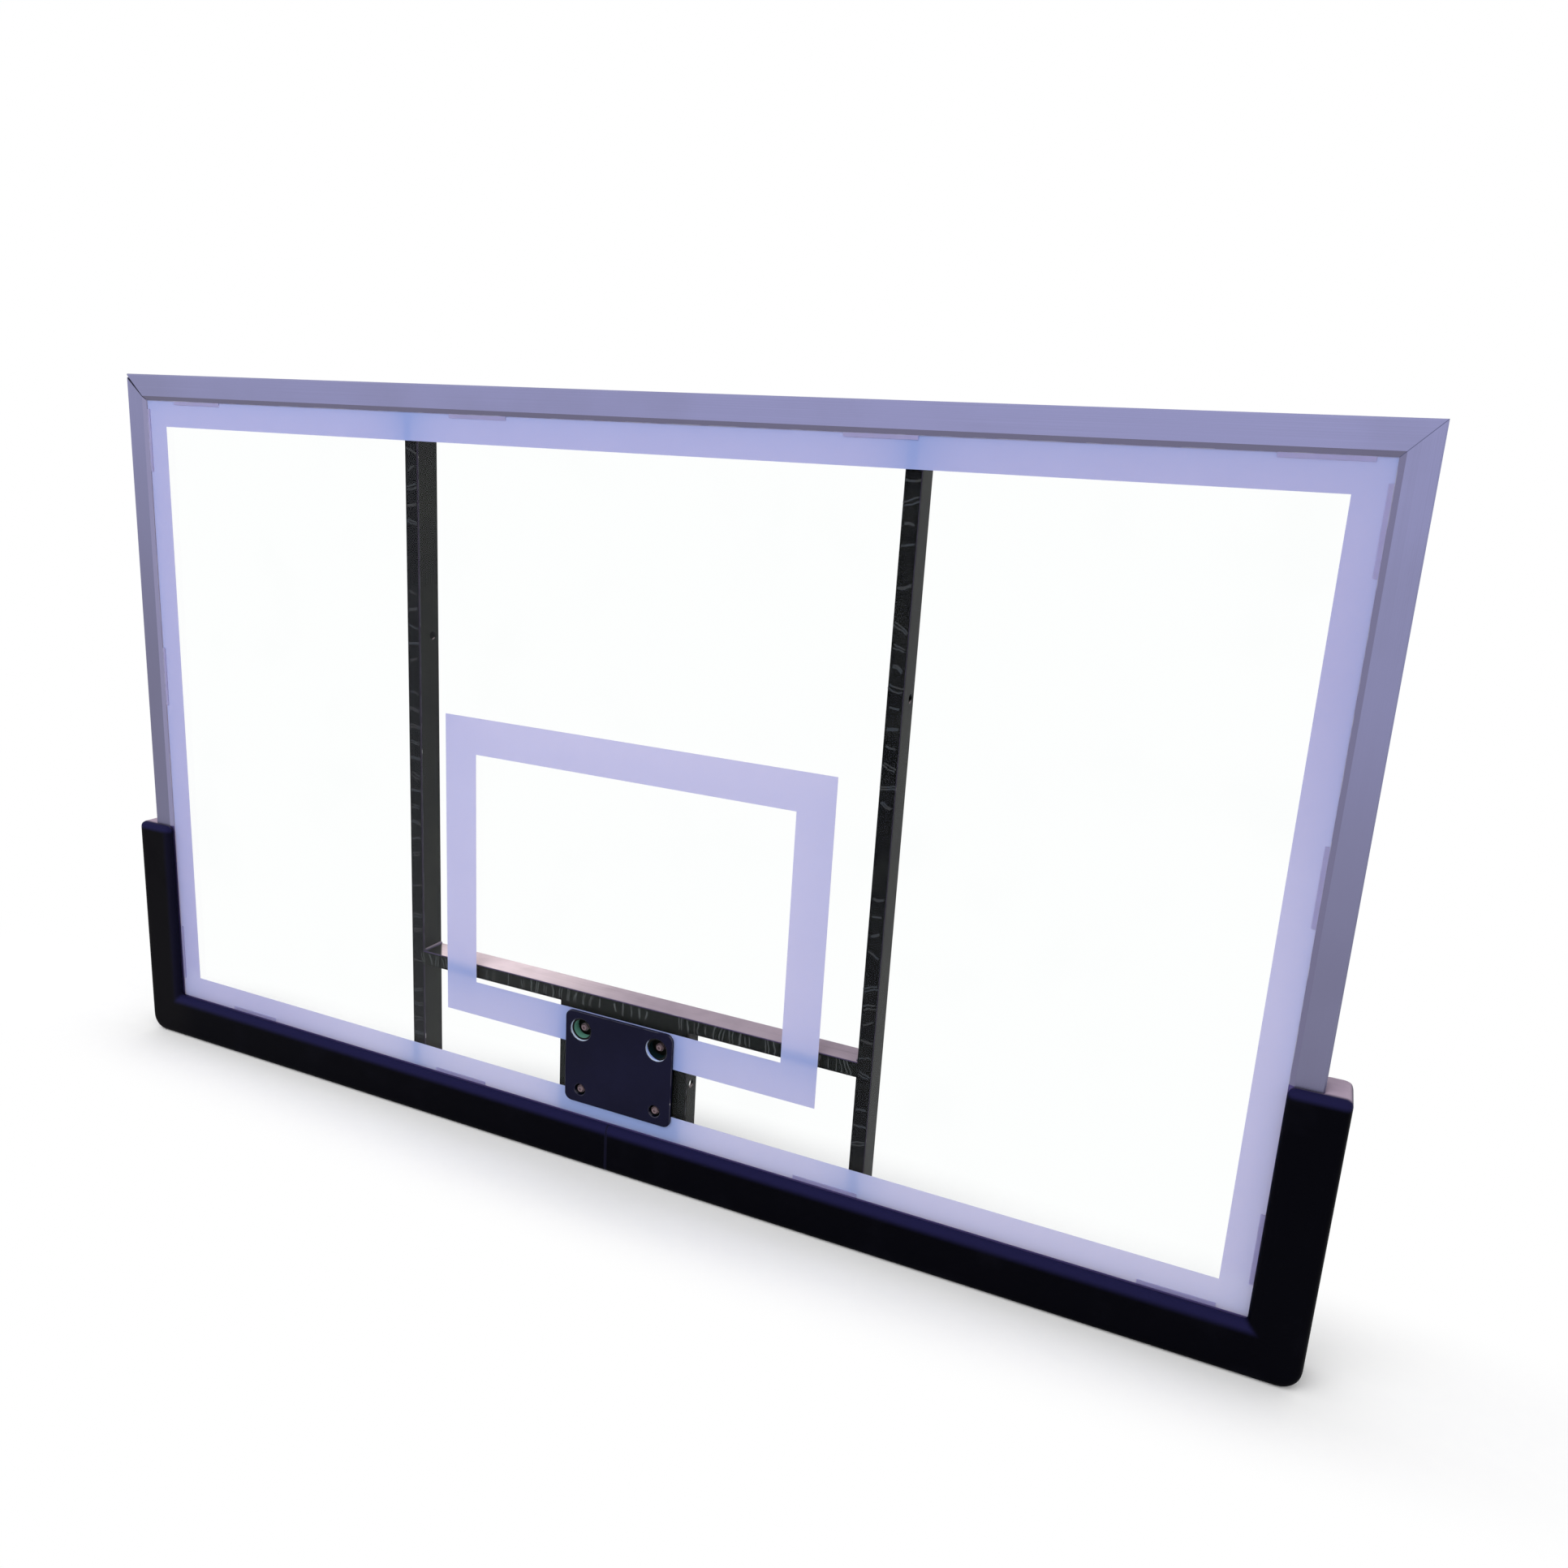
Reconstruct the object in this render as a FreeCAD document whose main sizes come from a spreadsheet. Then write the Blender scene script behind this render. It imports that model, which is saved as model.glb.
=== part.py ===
import FreeCAD, Part
import math
import os
from types import SimpleNamespace

import Sketcher

# Basketball backboard: a glass panel in a mitred aluminium frame, carried by a welded steel frame
# behind it, with a rim plate in front and moulded pads around the lower edge.
# Board coordinates: x from the middle, y from the glass front face backwards, z from the frame's foot.
# The model's origin is the middle of the arm bolt hole in the rim column.

SIZES = {
    # Aluminium frame
    "board_width": 1800,
    "board_height": 1050,
    "rail_face": 37.5,
    "rail_box": 22,
    "rail_wall": 2,
    "rail_depth": 36,
    "rail_stand": 4,
    "rail_chamfer": 2,
    "bevel_width": 6,
    "lip_gap": 1.2,
    "leg_thickness": 3,
    "leg_setback": 3.5,
    "mitre_gape": 5,
    "key_leg": 70,
    "key_clearance": 0.2,
    "key_screw_place": 48,
    # Glass, prints and glazing
    "glass_thickness": 12,
    "glass_edge_gap": 3,
    "glass_arris": 1,
    "glass_hole": 28,
    "print_thickness": 0.25,
    "border_width": 50,
    "target_width": 604,
    "target_height": 454,
    "target_line": 53,
    "target_bottom": 148.5,
    "gasket_thickness": 3,
    "packer_length": 92,
    "packer_reach": 5,
    "setting_block": 100,
    # Steel frame
    "tube_width": 20,
    "tube_depth": 40,
    "tube_wall": 2,
    "tube_round": 2,
    "steel_gap": 1.5,
    "upright_spacing": 728,
    "brace_hole": 12,
    "brace_hole_level": 705,
    "brace_hole_setback": 26,
    "bar_level": 205,
    "column_width": 208,
    "column_depth": 30,
    "column_wall": 4,
    "arm_hole": 12,
    "arm_hole_level": 120,
    "arm_hole_setback": 15,
    "weld_leg": 4,
    "foot_width": 50,
    "foot_thickness": 4,
    "foot_margin": 2,
    "foot_overlap": 2,
    "foot_screw_spacing": 30,
    # Rim plate and bolts
    "rim_spacing_across": 124,
    "rim_spacing_up": 94.3,
    "rim_lower_level": 78.5,
    "plate_width": 175,
    "plate_height": 142,
    "plate_lower_margin": 20.5,
    "plate_thickness": 4,
    "plate_corner": 11,
    "plate_upper_hole": 34,
    "plate_lower_hole": 18,
    "plate_chamfer": 0.6,
    "bolt_diameter": 12,
    "bolt_length": 40,
    "bolt_tip": 1.2,
    "bolt_across": 18,
    "bolt_head": 7.5,
    "bolt_clearance": 0.5,
    "upper_bolt_recess": 4,
    "lower_bolt_stand": 3,
    "nut_height": 10,
    # Pads
    "pad_front": 10,
    "pad_side": 30,
    "pad_bottom": 35,
    "pad_back": 18,
    "pad_lip": 5,
    "pad_lip_cover": 28,
    "pad_top_level": 338,
    "pad_round": 8,
    "pad_corner": 26,
    "pad_notch_clearance": 2,
    "seam_offset": -10,
    "seam_gap": 0.6,
    # Screws and washers
    "screw_diameter": 5,
    "screw_head": 10,
    "screw_head_height": 3.2,
    "screw_grip": 8,
    "screw_clearance": 0.2,
    "washer_diameter": 20,
    "washer_thickness": 1.5,
    "overrun": 5,
}

# Places of repeated pieces, as shares of the board's width and height or of half of them.
TOP_PACKER_SHARES = (-0.844, -0.273, 0.359, 0.885)
BOTTOM_PACKER_SHARES = (-0.78, -0.31, 0.36, 0.867)
LEFT_PACKER_SHARES = (0.11, 0.56, 0.908)
RIGHT_PACKER_SHARES = (0.12, 0.54, 0.896)
SETTING_BLOCK_SHARES = (0.25, 0.75)
PAD_BOTTOM_SCREW_SHARES = (0.17, 0.64, 1)

# Distance from a hexagon's middle to its corners, as a share of its width across the flats.
HEXAGON_CORNER_SHARE = 1 / math.sqrt(3)
SIDES = (-1, 1)


class Size:
    """A length that carries its number and the sheet formula behind it."""

    def __init__(self, number, formula):
        self.number = number
        self.formula = formula

    def __add__(self, other):
        return Size(self.number + other.number, f"({self.formula} + {other.formula})")

    def __sub__(self, other):
        return Size(self.number - other.number, f"({self.formula} - {other.formula})")

    def __mul__(self, share):
        return Size(self.number * share, f"({self.formula} * {share:.6f})")

    def __truediv__(self, share):
        return Size(self.number / share, f"({self.formula} / {share:.6f})")

    def __neg__(self):
        return self * -1


doc = FreeCAD.newDocument("Backboard")
sheet = doc.addObject("Spreadsheet::Sheet", "Sizes")
for row, (alias, number) in enumerate(SIZES.items(), 1):
    sheet.set(f"A{row}", alias)
    sheet.set(f"B{row}", str(number))
    sheet.setAlias(f"B{row}", alias)
doc.recompute()
size = SimpleNamespace(**{alias: Size(number, f"Sizes.{alias}") for alias, number in SIZES.items()})
ZERO = Size(0, "0")

# Planes that several pieces share.
half_width = size.board_width / 2
face_front = -size.rail_stand
rail_back = size.rail_depth - size.rail_stand
print_front = -size.print_thickness
steel_front = size.glass_thickness + size.gasket_thickness
steel_back = steel_front + size.tube_depth
steel_foot = size.rail_face + size.steel_gap
steel_head = size.board_height - steel_foot
leg_end = size.rail_face - size.leg_setback
glass_edge = size.rail_box + size.glass_edge_gap
glass_half = half_width - glass_edge
glass_top = size.board_height - glass_edge
upright_place = size.upright_spacing / 2
upright_inside = upright_place - size.tube_width / 2
bar_top = size.bar_level + size.tube_width
arm_depth = steel_front + size.arm_hole_setback
rim_half = size.rim_spacing_across / 2
rim_upper_level = size.rim_lower_level + size.rim_spacing_up
screw_hole = size.screw_diameter + size.screw_clearance * 2
pad_foot = -size.pad_bottom
pad_edge = half_width + size.pad_side
pad_front_face = face_front - size.pad_front
pad_back_face = rail_back + size.pad_back
pad_lip_back = rail_back + size.pad_lip

nodes = []
ALONG_Y = FreeCAD.Rotation(FreeCAD.Vector(1, 0, 0), -90)
ALONG_X = FreeCAD.Rotation(FreeCAD.Vector(0, 1, 0), 90)


def bind(thing, path, length):
    thing.setExpression(path, length.formula)


def put(thing, x, y, z):
    """Place a piece by its board coordinates."""
    bind(thing, "Placement.Base.x", x)
    bind(thing, "Placement.Base.y", y - arm_depth)
    bind(thing, "Placement.Base.z", z - size.arm_hole_level)


def node(thing, name):
    thing.Label = name
    nodes.append(thing)
    return thing


def new_body(name):
    body = doc.addObject("PartDesign::Body", name)
    put(body, ZERO, ZERO, ZERO)
    return body


def sketch_on(body, role, offset):
    """Sketch on one of the body's own planes, moved along that plane's normal."""
    sketch = body.newObject("Sketcher::SketchObject", body.Name + "_sketch")
    plane = next(item for item in body.Origin.OriginFeatures if item.Role == role)
    sketch.AttachmentSupport = [(plane, "")]
    sketch.MapMode = "FlatFace"
    bind(sketch, "AttachmentOffset.Base.z", offset)
    return sketch


def front_sketch(body, y):
    """Sketch in the board's plane at depth y, drawn in x and z."""
    return sketch_on(body, "XZ_Plane", -y)


def pin_point(sketch, geometry, point, x, y):
    for kind, length in (("DistanceX", x), ("DistanceY", y)):
        constraint = Sketcher.Constraint(kind, -1, 1, geometry, point, length.number)
        number = sketch.addConstraint(constraint)
        bind(sketch, f"Constraints[{number}]", length)


def outline(sketch, corners):
    """Straight-sided closed outline through its corners."""
    first = sketch.GeometryCount
    count = len(corners)
    points = [FreeCAD.Vector(x.number, y.number, 0) for x, y in corners]
    for index in range(count):
        sketch.addGeometry(Part.LineSegment(points[index], points[(index + 1) % count]))
    for index in range(count):
        after = first + (index + 1) % count
        sketch.addConstraint(Sketcher.Constraint("Coincident", first + index, 2, after, 1))
    for index, (x, y) in enumerate(corners):
        pin_point(sketch, first + index, 1, x, y)


def rectangle(sketch, left, right, low, high):
    outline(sketch, [(left, low), (right, low), (right, high), (left, high)])


def circle(sketch, x, y, diameter):
    centre = FreeCAD.Vector(x.number, y.number, 0)
    round_edge = Part.Circle(centre, FreeCAD.Vector(0, 0, 1), diameter.number / 2)
    geometry = sketch.addGeometry(round_edge)
    pin_point(sketch, geometry, 3, x, y)
    constraint = Sketcher.Constraint("Diameter", geometry, diameter.number)
    number = sketch.addConstraint(constraint)
    bind(sketch, f"Constraints[{number}]", diameter)


def pad(body, sketch, length, backwards=False):
    feature = body.newObject("PartDesign::Pad", body.Name + "_pad")
    feature.Profile = sketch
    feature.Reversed = backwards
    bind(feature, "Length", length)
    doc.recompute()
    return feature


def pocket(body, sketch, length, backwards=False):
    """Cut that has to take something away."""
    before = body.Shape.Volume
    feature = body.newObject("PartDesign::Pocket", body.Name + "_pocket")
    feature.Profile = sketch
    feature.Reversed = backwards
    bind(feature, "Length", length)
    doc.recompute()
    if body.Shape.Volume >= before:
        raise ValueError(f"a pocket of {body.Name} cuts nothing")
    return feature


def ease(body, kind, length, wanted):
    """Fillet or chamfer the body's edges that the wanted test picks."""
    base = body.Tip
    edges = [f"Edge{number}" for number, edge in enumerate(base.Shape.Edges, 1) if wanted(edge)]
    feature = body.newObject("PartDesign::" + kind, body.Name + "_" + kind.lower())
    feature.Base = (base, edges)
    bind(feature, "Radius" if kind == "Fillet" else "Size", length)
    doc.recompute()
    return feature


def runs_along(edge, axis):
    """True for a straight edge parallel to the axis numbered 0, 1 or 2."""
    if not isinstance(edge.Curve, Part.Line):
        return False
    return abs(abs(edge.Curve.Direction[axis]) - 1) < 1e-6


def lies_at(edge, axis, length):
    """True for an edge that lies in the plane at that length along the axis."""
    box = edge.BoundBox
    low = (box.XMin, box.YMin, box.ZMin)[axis]
    high = (box.XMax, box.YMax, box.ZMax)[axis]
    return abs(low - length.number) < 1e-4 and abs(high - length.number) < 1e-4


def block(name, left, right, front, back, low, high):
    box = doc.addObject("Part::Box", name)
    bind(box, "Length", right - left)
    bind(box, "Width", back - front)
    bind(box, "Height", high - low)
    put(box, left, front, low)
    return box


def rod(name, diameter, length, x, y, z):
    """Round bar that runs backwards from its front end."""
    bar = doc.addObject("Part::Cylinder", name)
    bar.Placement = FreeCAD.Placement(FreeCAD.Vector(), ALONG_Y)
    bind(bar, "Radius", diameter / 2)
    bind(bar, "Height", length)
    put(bar, x, y, z)
    return bar


def hexagon(name, across, length, x, y, z):
    """Six-sided bar that runs backwards from its front end."""
    bar = doc.addObject("Part::Prism", name)
    bar.Polygon = 6
    bar.Placement = FreeCAD.Placement(FreeCAD.Vector(), ALONG_Y)
    bind(bar, "Circumradius", across * HEXAGON_CORNER_SHARE)
    bind(bar, "Height", length)
    put(bar, x, y, z)
    return bar


def fuse(name, pieces):
    solid = doc.addObject("Part::MultiFuse", name)
    solid.Shapes = pieces
    return solid


def cut(name, base, tool):
    solid = doc.addObject("Part::Cut", name)
    solid.Base = base
    solid.Tool = tool
    return solid


def group(name, pieces):
    """Like pieces that share one node, each its own solid."""
    compound = doc.addObject("Part::Compound", name + "_group")
    compound.Links = pieces
    return node(compound, name)


def screw(name, x, seat, z, length):
    """Pan-head screw driven forwards, its head on the seat."""
    shank = rod(name + "_shank", size.screw_diameter, length, x, seat - length, z)
    head = rod(name + "_head", size.screw_head, size.screw_head_height, x, seat, z)
    return fuse(name, [shank, head])


# Places of the screws that go into the rails' rear wall, by rail, as length along the rail from its
# middle. Every one sits on the middle of the hollow box.
screw_line = size.rail_box / 2
pad_screw_start = size.key_leg + size.washer_diameter
pad_screw_stop = size.pad_top_level - size.pad_round - size.washer_diameter
pad_side_levels = [pad_screw_start, pad_screw_stop]
pad_bottom_places = [(half_width - pad_screw_start) * share for share in PAD_BOTTOM_SCREW_SHARES]


def key_places(length):
    return [(length / 2 - size.key_screw_place) * side for side in SIDES]


def foot_places():
    reach = size.foot_screw_spacing / 2
    return [upright_place * side + reach * way for side in SIDES for way in SIDES]


def rail(name, length, angle, x, z, places, gape_side=0):
    """Hollow extrusion with a bevelled front lip and a rear leg, mitred at both ends."""
    body = new_body(name)
    turn = FreeCAD.Rotation(FreeCAD.Vector(0, 1, 0), angle)
    body.Placement = FreeCAD.Placement(FreeCAD.Vector(), turn)
    put(body, x, ZERO, z)
    lip_back = -size.lip_gap
    leg_back = steel_front + size.leg_thickness
    bevel_start = size.rail_face - size.bevel_width
    profile = sketch_on(body, "YZ_Plane", -length / 2)
    outline(profile, [
        (rail_back - size.rail_chamfer, ZERO),
        (rail_back, size.rail_chamfer),
        (rail_back, size.rail_box),
        (leg_back, size.rail_box),
        (leg_back, leg_end),
        (steel_front, leg_end),
        (steel_front, size.rail_box),
        (lip_back, size.rail_box),
        (lip_back, size.rail_face),
        (face_front, bevel_start),
        (face_front, size.rail_chamfer),
        (face_front + size.rail_chamfer, ZERO),
    ])
    wall = size.rail_wall
    rectangle(profile, face_front + wall, rail_back - wall, wall, size.rail_box - wall)
    pad(body, profile, length)
    mitres = front_sketch(body, face_front - size.overrun)
    reach = size.rail_face + size.overrun
    for side in SIDES:
        tip = length / 2 + size.overrun
        inner = length / 2 - reach
        corner = length / 2
        if side == gape_side:
            corner = corner - size.mitre_gape
        outline(mitres, [
            (corner * side, ZERO),
            (inner * side, reach),
            (tip * side, reach),
            (tip * side, -size.overrun),
            (corner * side, -size.overrun),
        ])
    pocket(body, mitres, size.rail_depth + size.overrun * 2)
    holes = front_sketch(body, rail_back - wall - size.overrun / 2)
    for place in places:
        circle(holes, place, screw_line, screw_hole)
    pocket(body, holes, wall + size.overrun)
    return node(body, name)


half_height = size.board_height / 2
key_across = key_places(size.board_width)
key_up = key_places(size.board_height)
pad_across = [place * side for place in pad_bottom_places for side in SIDES]
pad_up_left = [half_height - level for level in pad_side_levels]
pad_up_right = [level - half_height for level in pad_side_levels]
rail("frame_bottom", size.board_width, 0, ZERO, ZERO, key_across + foot_places() + pad_across)
rail("frame_top", size.board_width, 180, ZERO, size.board_height, key_across + foot_places())
rail("frame_left", size.board_height, 90, -half_width, half_height, key_up + pad_up_left, -1)
rail("frame_right", size.board_height, -90, half_width, half_height, key_up + pad_up_right)


def corner_key(side, top):
    """Solid L-shaped key that joins two hollow rails at a corner."""
    name = f"corner_key_{side + 1}{top + 1}"
    body = new_body(name)
    gap = size.rail_wall + size.key_clearance
    inner = size.rail_box - gap
    low = size.mitre_gape + gap
    front = face_front + gap
    back = rail_back - gap

    def spot(along, up):
        level = half_height + (half_height - up) * top
        return ((half_width - along) * side, level)

    profile = front_sketch(body, front)
    outline(profile, [
        spot(low, gap),
        spot(size.key_leg, gap),
        spot(size.key_leg, inner),
        spot(inner, inner),
        spot(inner, size.key_leg),
        spot(gap, size.key_leg),
        spot(gap, low),
    ])
    pad(body, profile, back - front, True)
    holes = front_sketch(body, rail_back - size.rail_wall - size.screw_grip)
    circle(holes, *spot(size.key_screw_place, screw_line), screw_hole)
    circle(holes, *spot(screw_line, size.key_screw_place), screw_hole)
    pocket(body, holes, size.screw_grip + size.overrun)
    return body


def corner_screws_at(side, top):
    places = [
        (size.key_screw_place, screw_line),
        (screw_line, size.key_screw_place),
    ]
    screws = []
    for number, (along, up) in enumerate(places):
        level = half_height + (half_height - up) * top
        name = f"corner_screw_{side + 1}{top + 1}{number}"
        length = size.rail_wall + size.screw_grip
        screws.append(screw(name, (half_width - along) * side, rail_back, level, length))
    return screws


group("corner_keys", [corner_key(side, top) for side in SIDES for top in SIDES])
corner_pairs = [corner_screws_at(side, top) for side in SIDES for top in SIDES]
group("corner_screws", [item for pair in corner_pairs for item in pair])


def rim_holes(sketch, upper_diameter, lower_diameter):
    for side in SIDES:
        circle(sketch, rim_half * side, size.rim_lower_level, lower_diameter)
        circle(sketch, rim_half * side, rim_upper_level, upper_diameter)


# Toughened glass with its edges eased and four holes for the rim bolts.
glass = new_body("glass_panel")
sheet_face = front_sketch(glass, ZERO)
rectangle(sheet_face, -glass_half, glass_half, glass_edge, glass_top)
rim_holes(sheet_face, size.glass_hole, size.glass_hole)
pad(glass, sheet_face, size.glass_thickness, True)
ease(glass, "Chamfer", size.glass_arris, lambda edge: isinstance(edge.Curve, Part.Line) and (
    lies_at(edge, 1, ZERO) or lies_at(edge, 1, size.glass_thickness)))
node(glass, "glass_panel")


def printed_line(name, left, right, low, high, line, upper):
    """Thin printed frame on the glass front face, open round the rim bolts."""
    body = new_body(name)
    face = front_sketch(body, print_front)
    rectangle(face, left, right, low, high)
    rectangle(face, left + line, right - line, low + line, high - line)
    pad(body, face, size.print_thickness, True)
    holes = front_sketch(body, print_front - size.overrun)
    level = rim_upper_level if upper else size.rim_lower_level
    for side in SIDES:
        circle(holes, rim_half * side, level, size.glass_hole)
    pocket(body, holes, size.print_thickness + size.overrun * 2)
    return node(body, name)


target_top = size.target_bottom + size.target_height
target_half = size.target_width / 2
arris = size.glass_arris
border_low = glass_edge + arris
border_line = size.border_width - arris
printed_line("border_line", arris - glass_half, glass_half - arris, border_low, glass_top - arris,
             border_line, False)
printed_line("target_line", -target_half, target_half, size.target_bottom, target_top,
             size.target_line, True)


def edge_strip(name, side, low, high, front, back, inner, outer):
    """Strip along one edge of the board, between two distances from that edge."""
    if side == "top":
        return block(name, low, high, front, back, size.board_height - inner, size.board_height - outer)
    if side == "bottom":
        return block(name, low, high, front, back, outer, inner)
    if side == "left":
        return block(name, outer - half_width, inner - half_width, front, back, low, high)
    return block(name, half_width - inner, half_width - outer, front, back, low, high)


# Rubber strips between the glass and the rear leg of the rails.
across = (arris - glass_half, glass_half - arris)
upward = (leg_end, size.board_height - leg_end)
gasket_runs = {"top": across, "bottom": across, "left": upward, "right": upward}
gaskets = []
for side, (low, high) in gasket_runs.items():
    strip = edge_strip(f"gasket_{side}", side, low, high, size.glass_thickness, steel_front,
                       leg_end, glass_edge + arris)
    gaskets.append(strip)
group("glazing_gaskets", gaskets)

# Clear packers pushed in between the print and the lip, standing out a little.
packer_runs = {
    "top": [half_width * share for share in TOP_PACKER_SHARES],
    "bottom": [half_width * share for share in BOTTOM_PACKER_SHARES],
    "left": [size.board_height * share for share in LEFT_PACKER_SHARES],
    "right": [size.board_height * share for share in RIGHT_PACKER_SHARES],
}
packers = []
packer_half = size.packer_length / 2
for side, middles in packer_runs.items():
    for number, middle in enumerate(middles):
        strip = edge_strip(f"packer_{side}{number}", side, middle - packer_half, middle + packer_half,
                           -size.lip_gap, print_front, size.rail_face + size.packer_reach,
                           glass_edge + arris)
        packers.append(strip)
group("glazing_packers", packers)

# Rubber blocks that carry the glass edge in the bottom rail and centre it between the side rails.
block_half = size.setting_block / 2
block_runs = {
    "bottom": [size.board_width * share - half_width for share in SETTING_BLOCK_SHARES],
    "left": [size.board_height * share for share in SETTING_BLOCK_SHARES],
    "right": [size.board_height * share for share in SETTING_BLOCK_SHARES],
}
blocks = []
for side, middles in block_runs.items():
    for number, middle in enumerate(middles):
        rubber = edge_strip(f"setting_block_{side}{number}", side, middle - block_half,
                            middle + block_half, arris, size.glass_thickness - arris,
                            glass_edge, size.rail_box)
        blocks.append(rubber)
group("setting_blocks", blocks)


def hollow_section(sketch, left, right, low, high):
    rectangle(sketch, left, right, low, high)
    wall = size.tube_wall
    rectangle(sketch, left + wall, right - wall, low + wall, high - wall)


def outer_corner(edge, axis, spans):
    """True for an edge along the axis that lies on the outer corner of a section."""
    if not runs_along(edge, axis):
        return False
    middle = edge.CenterOfMass
    return all(
        min(abs(middle[other] - low.number), abs(middle[other] - high.number)) < 1e-4
        for other, low, high in spans
    )


# Uprights: rectangular tube on edge, with a bolt hole for a brace through both sides.
for side, word in ((-1, "left"), (1, "right")):
    upright = new_body(f"{word}_upright")
    middle = upright_place * side
    edge_low = middle - size.tube_width / 2
    edge_high = middle + size.tube_width / 2
    section = sketch_on(upright, "XY_Plane", steel_foot)
    hollow_section(section, edge_low, edge_high, steel_front, steel_back)
    pad(upright, section, steel_head - steel_foot)
    spans = ((0, edge_low, edge_high), (1, steel_front, steel_back))
    ease(upright, "Fillet", size.tube_round, lambda edge: outer_corner(edge, 2, spans))
    brace = sketch_on(upright, "YZ_Plane", edge_low - size.overrun)
    brace_depth = steel_front + size.brace_hole_setback
    circle(brace, brace_depth, size.brace_hole_level, size.brace_hole)
    pocket(upright, brace, size.tube_width + size.overrun * 2, True)
    node(upright, f"{word}_upright")

# Cross bar: the same tube laid flat and welded between the uprights.
bar = new_body("cross_bar")
section = sketch_on(bar, "YZ_Plane", -upright_inside)
hollow_section(section, steel_front, steel_back, size.bar_level, bar_top)
pad(bar, section, upright_inside * 2)
bar_spans = ((1, steel_front, steel_back), (2, size.bar_level, bar_top))
ease(bar, "Fillet", size.tube_round, lambda edge: outer_corner(edge, 0, bar_spans))
node(bar, "cross_bar")

# Rim column: a folded channel, open at the back, welded under the cross bar.
column = new_body("rim_column")
column_half = size.column_width / 2
column_back = steel_front + size.column_depth
web_back = steel_front + size.column_wall
flange_inside = column_half - size.column_wall
section = sketch_on(column, "XY_Plane", steel_foot)
outline(section, [
    (-column_half, steel_front),
    (column_half, steel_front),
    (column_half, column_back),
    (flange_inside, column_back),
    (flange_inside, web_back),
    (-flange_inside, web_back),
    (-flange_inside, column_back),
    (-column_half, column_back),
])
pad(column, section, size.bar_level - steel_foot)
ease(column, "Fillet", size.column_wall, lambda edge: runs_along(edge, 2) and (
    lies_at(edge, 1, steel_front)))
web_holes = front_sketch(column, steel_front - size.overrun)
bolt_hole = size.bolt_diameter + size.bolt_clearance * 2
rim_holes(web_holes, bolt_hole, bolt_hole)
pocket(column, web_holes, size.column_wall + size.overrun * 2)
arm_holes = sketch_on(column, "YZ_Plane", -column_half - size.overrun)
circle(arm_holes, arm_depth, size.arm_hole_level, size.arm_hole)
pocket(column, arm_holes, size.column_width + size.overrun * 2, True)
node(column, "rim_column")


def weld(name, rotation, length, x, y, z):
    """Quarter-round bead in an inside corner."""
    bead = doc.addObject("Part::Cylinder", name)
    bead.Angle = 90
    bead.Placement = FreeCAD.Placement(FreeCAD.Vector(), rotation)
    bind(bead, "Radius", size.weld_leg)
    bind(bead, "Height", length)
    put(bead, x, y, z)
    return bead


# Weld beads: across the bar's top and underside at each upright, along the column's top, and on
# both sides of each upright's end. The angle turns a bead to fill its corner's x and z directions.
FILL_ANGLES = {(1, 1): -90, (1, -1): 0, (-1, -1): 90, (-1, 1): 180}


def side_bead(name, fill, length, x, y, z):
    turn = FreeCAD.Rotation(FreeCAD.Vector(0, 1, 0), FILL_ANGLES[fill])
    return weld(name, turn.multiply(ALONG_Y), length, x, y, z)


bead_back = steel_back - size.tube_round
bead_front = steel_front + size.tube_round
beads = []
for side in SIDES:
    for top, level in ((-1, size.bar_level), (1, bar_top)):
        beads.append(side_bead(f"bar_bead_{side + 1}{top + 1}", (-side, top), bead_back - bead_front,
                               upright_inside * side, bead_front, level))
    for top, level in ((-1, steel_foot), (1, steel_head)):
        for way in SIDES:
            tube_side = upright_place * side + size.tube_width / 2 * way
            beads.append(side_bead(f"foot_bead_{side + 1}{top + 1}{way + 1}", (way, -top),
                                   bead_back - rail_back, tube_side, rail_back, level))
beads.append(weld("bead_column", ALONG_X, flange_inside * 2, -flange_inside, web_back, size.bar_level))
group("weld_beads", beads)

# Foam tape between the steel and the glass.
for side, word in ((-1, "left"), (1, "right")):
    middle = upright_place * side
    tape = block(f"{word}_tape_strip", middle - size.tube_width / 2, middle + size.tube_width / 2,
                 size.glass_thickness, steel_front, steel_foot, steel_head)
    node(tape, f"{word}_tape")
bar_tape = block("bar_tape_strip", -upright_inside, upright_inside, size.glass_thickness, steel_front,
                 size.bar_level, bar_top)
node(bar_tape, "bar_tape")
column_tape = new_body("column_tape")
section = front_sketch(column_tape, size.glass_thickness)
rectangle(section, -column_half, column_half, steel_foot, size.bar_level)
rim_holes(section, size.glass_hole, size.glass_hole)
pad(column_tape, section, size.gasket_thickness, True)
node(column_tape, "column_tape")


def upright_foot(side, top):
    """Bent steel foot: one leg on the rail's rear face, the other welded to the upright's end."""
    body = new_body(f"foot_{side + 1}{top + 1}")

    def level(up):
        return half_height + (half_height - up) * top

    low = size.foot_margin + size.rail_chamfer
    shelf = steel_foot - size.foot_thickness
    profile = sketch_on(body, "YZ_Plane", upright_place * side - size.foot_width / 2)
    outline(profile, [
        (rail_back, level(low)),
        (rail_back + size.foot_thickness, level(low)),
        (rail_back + size.foot_thickness, level(shelf)),
        (steel_back + size.foot_overlap, level(shelf)),
        (steel_back + size.foot_overlap, level(steel_foot)),
        (rail_back, level(steel_foot)),
    ])
    pad(body, profile, size.foot_width)
    holes = front_sketch(body, rail_back - size.overrun)
    for way in SIDES:
        place = upright_place * side + size.foot_screw_spacing / 2 * way
        circle(holes, place, level(screw_line), screw_hole)
    pocket(body, holes, size.foot_thickness + size.overrun * 2)
    return body


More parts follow.
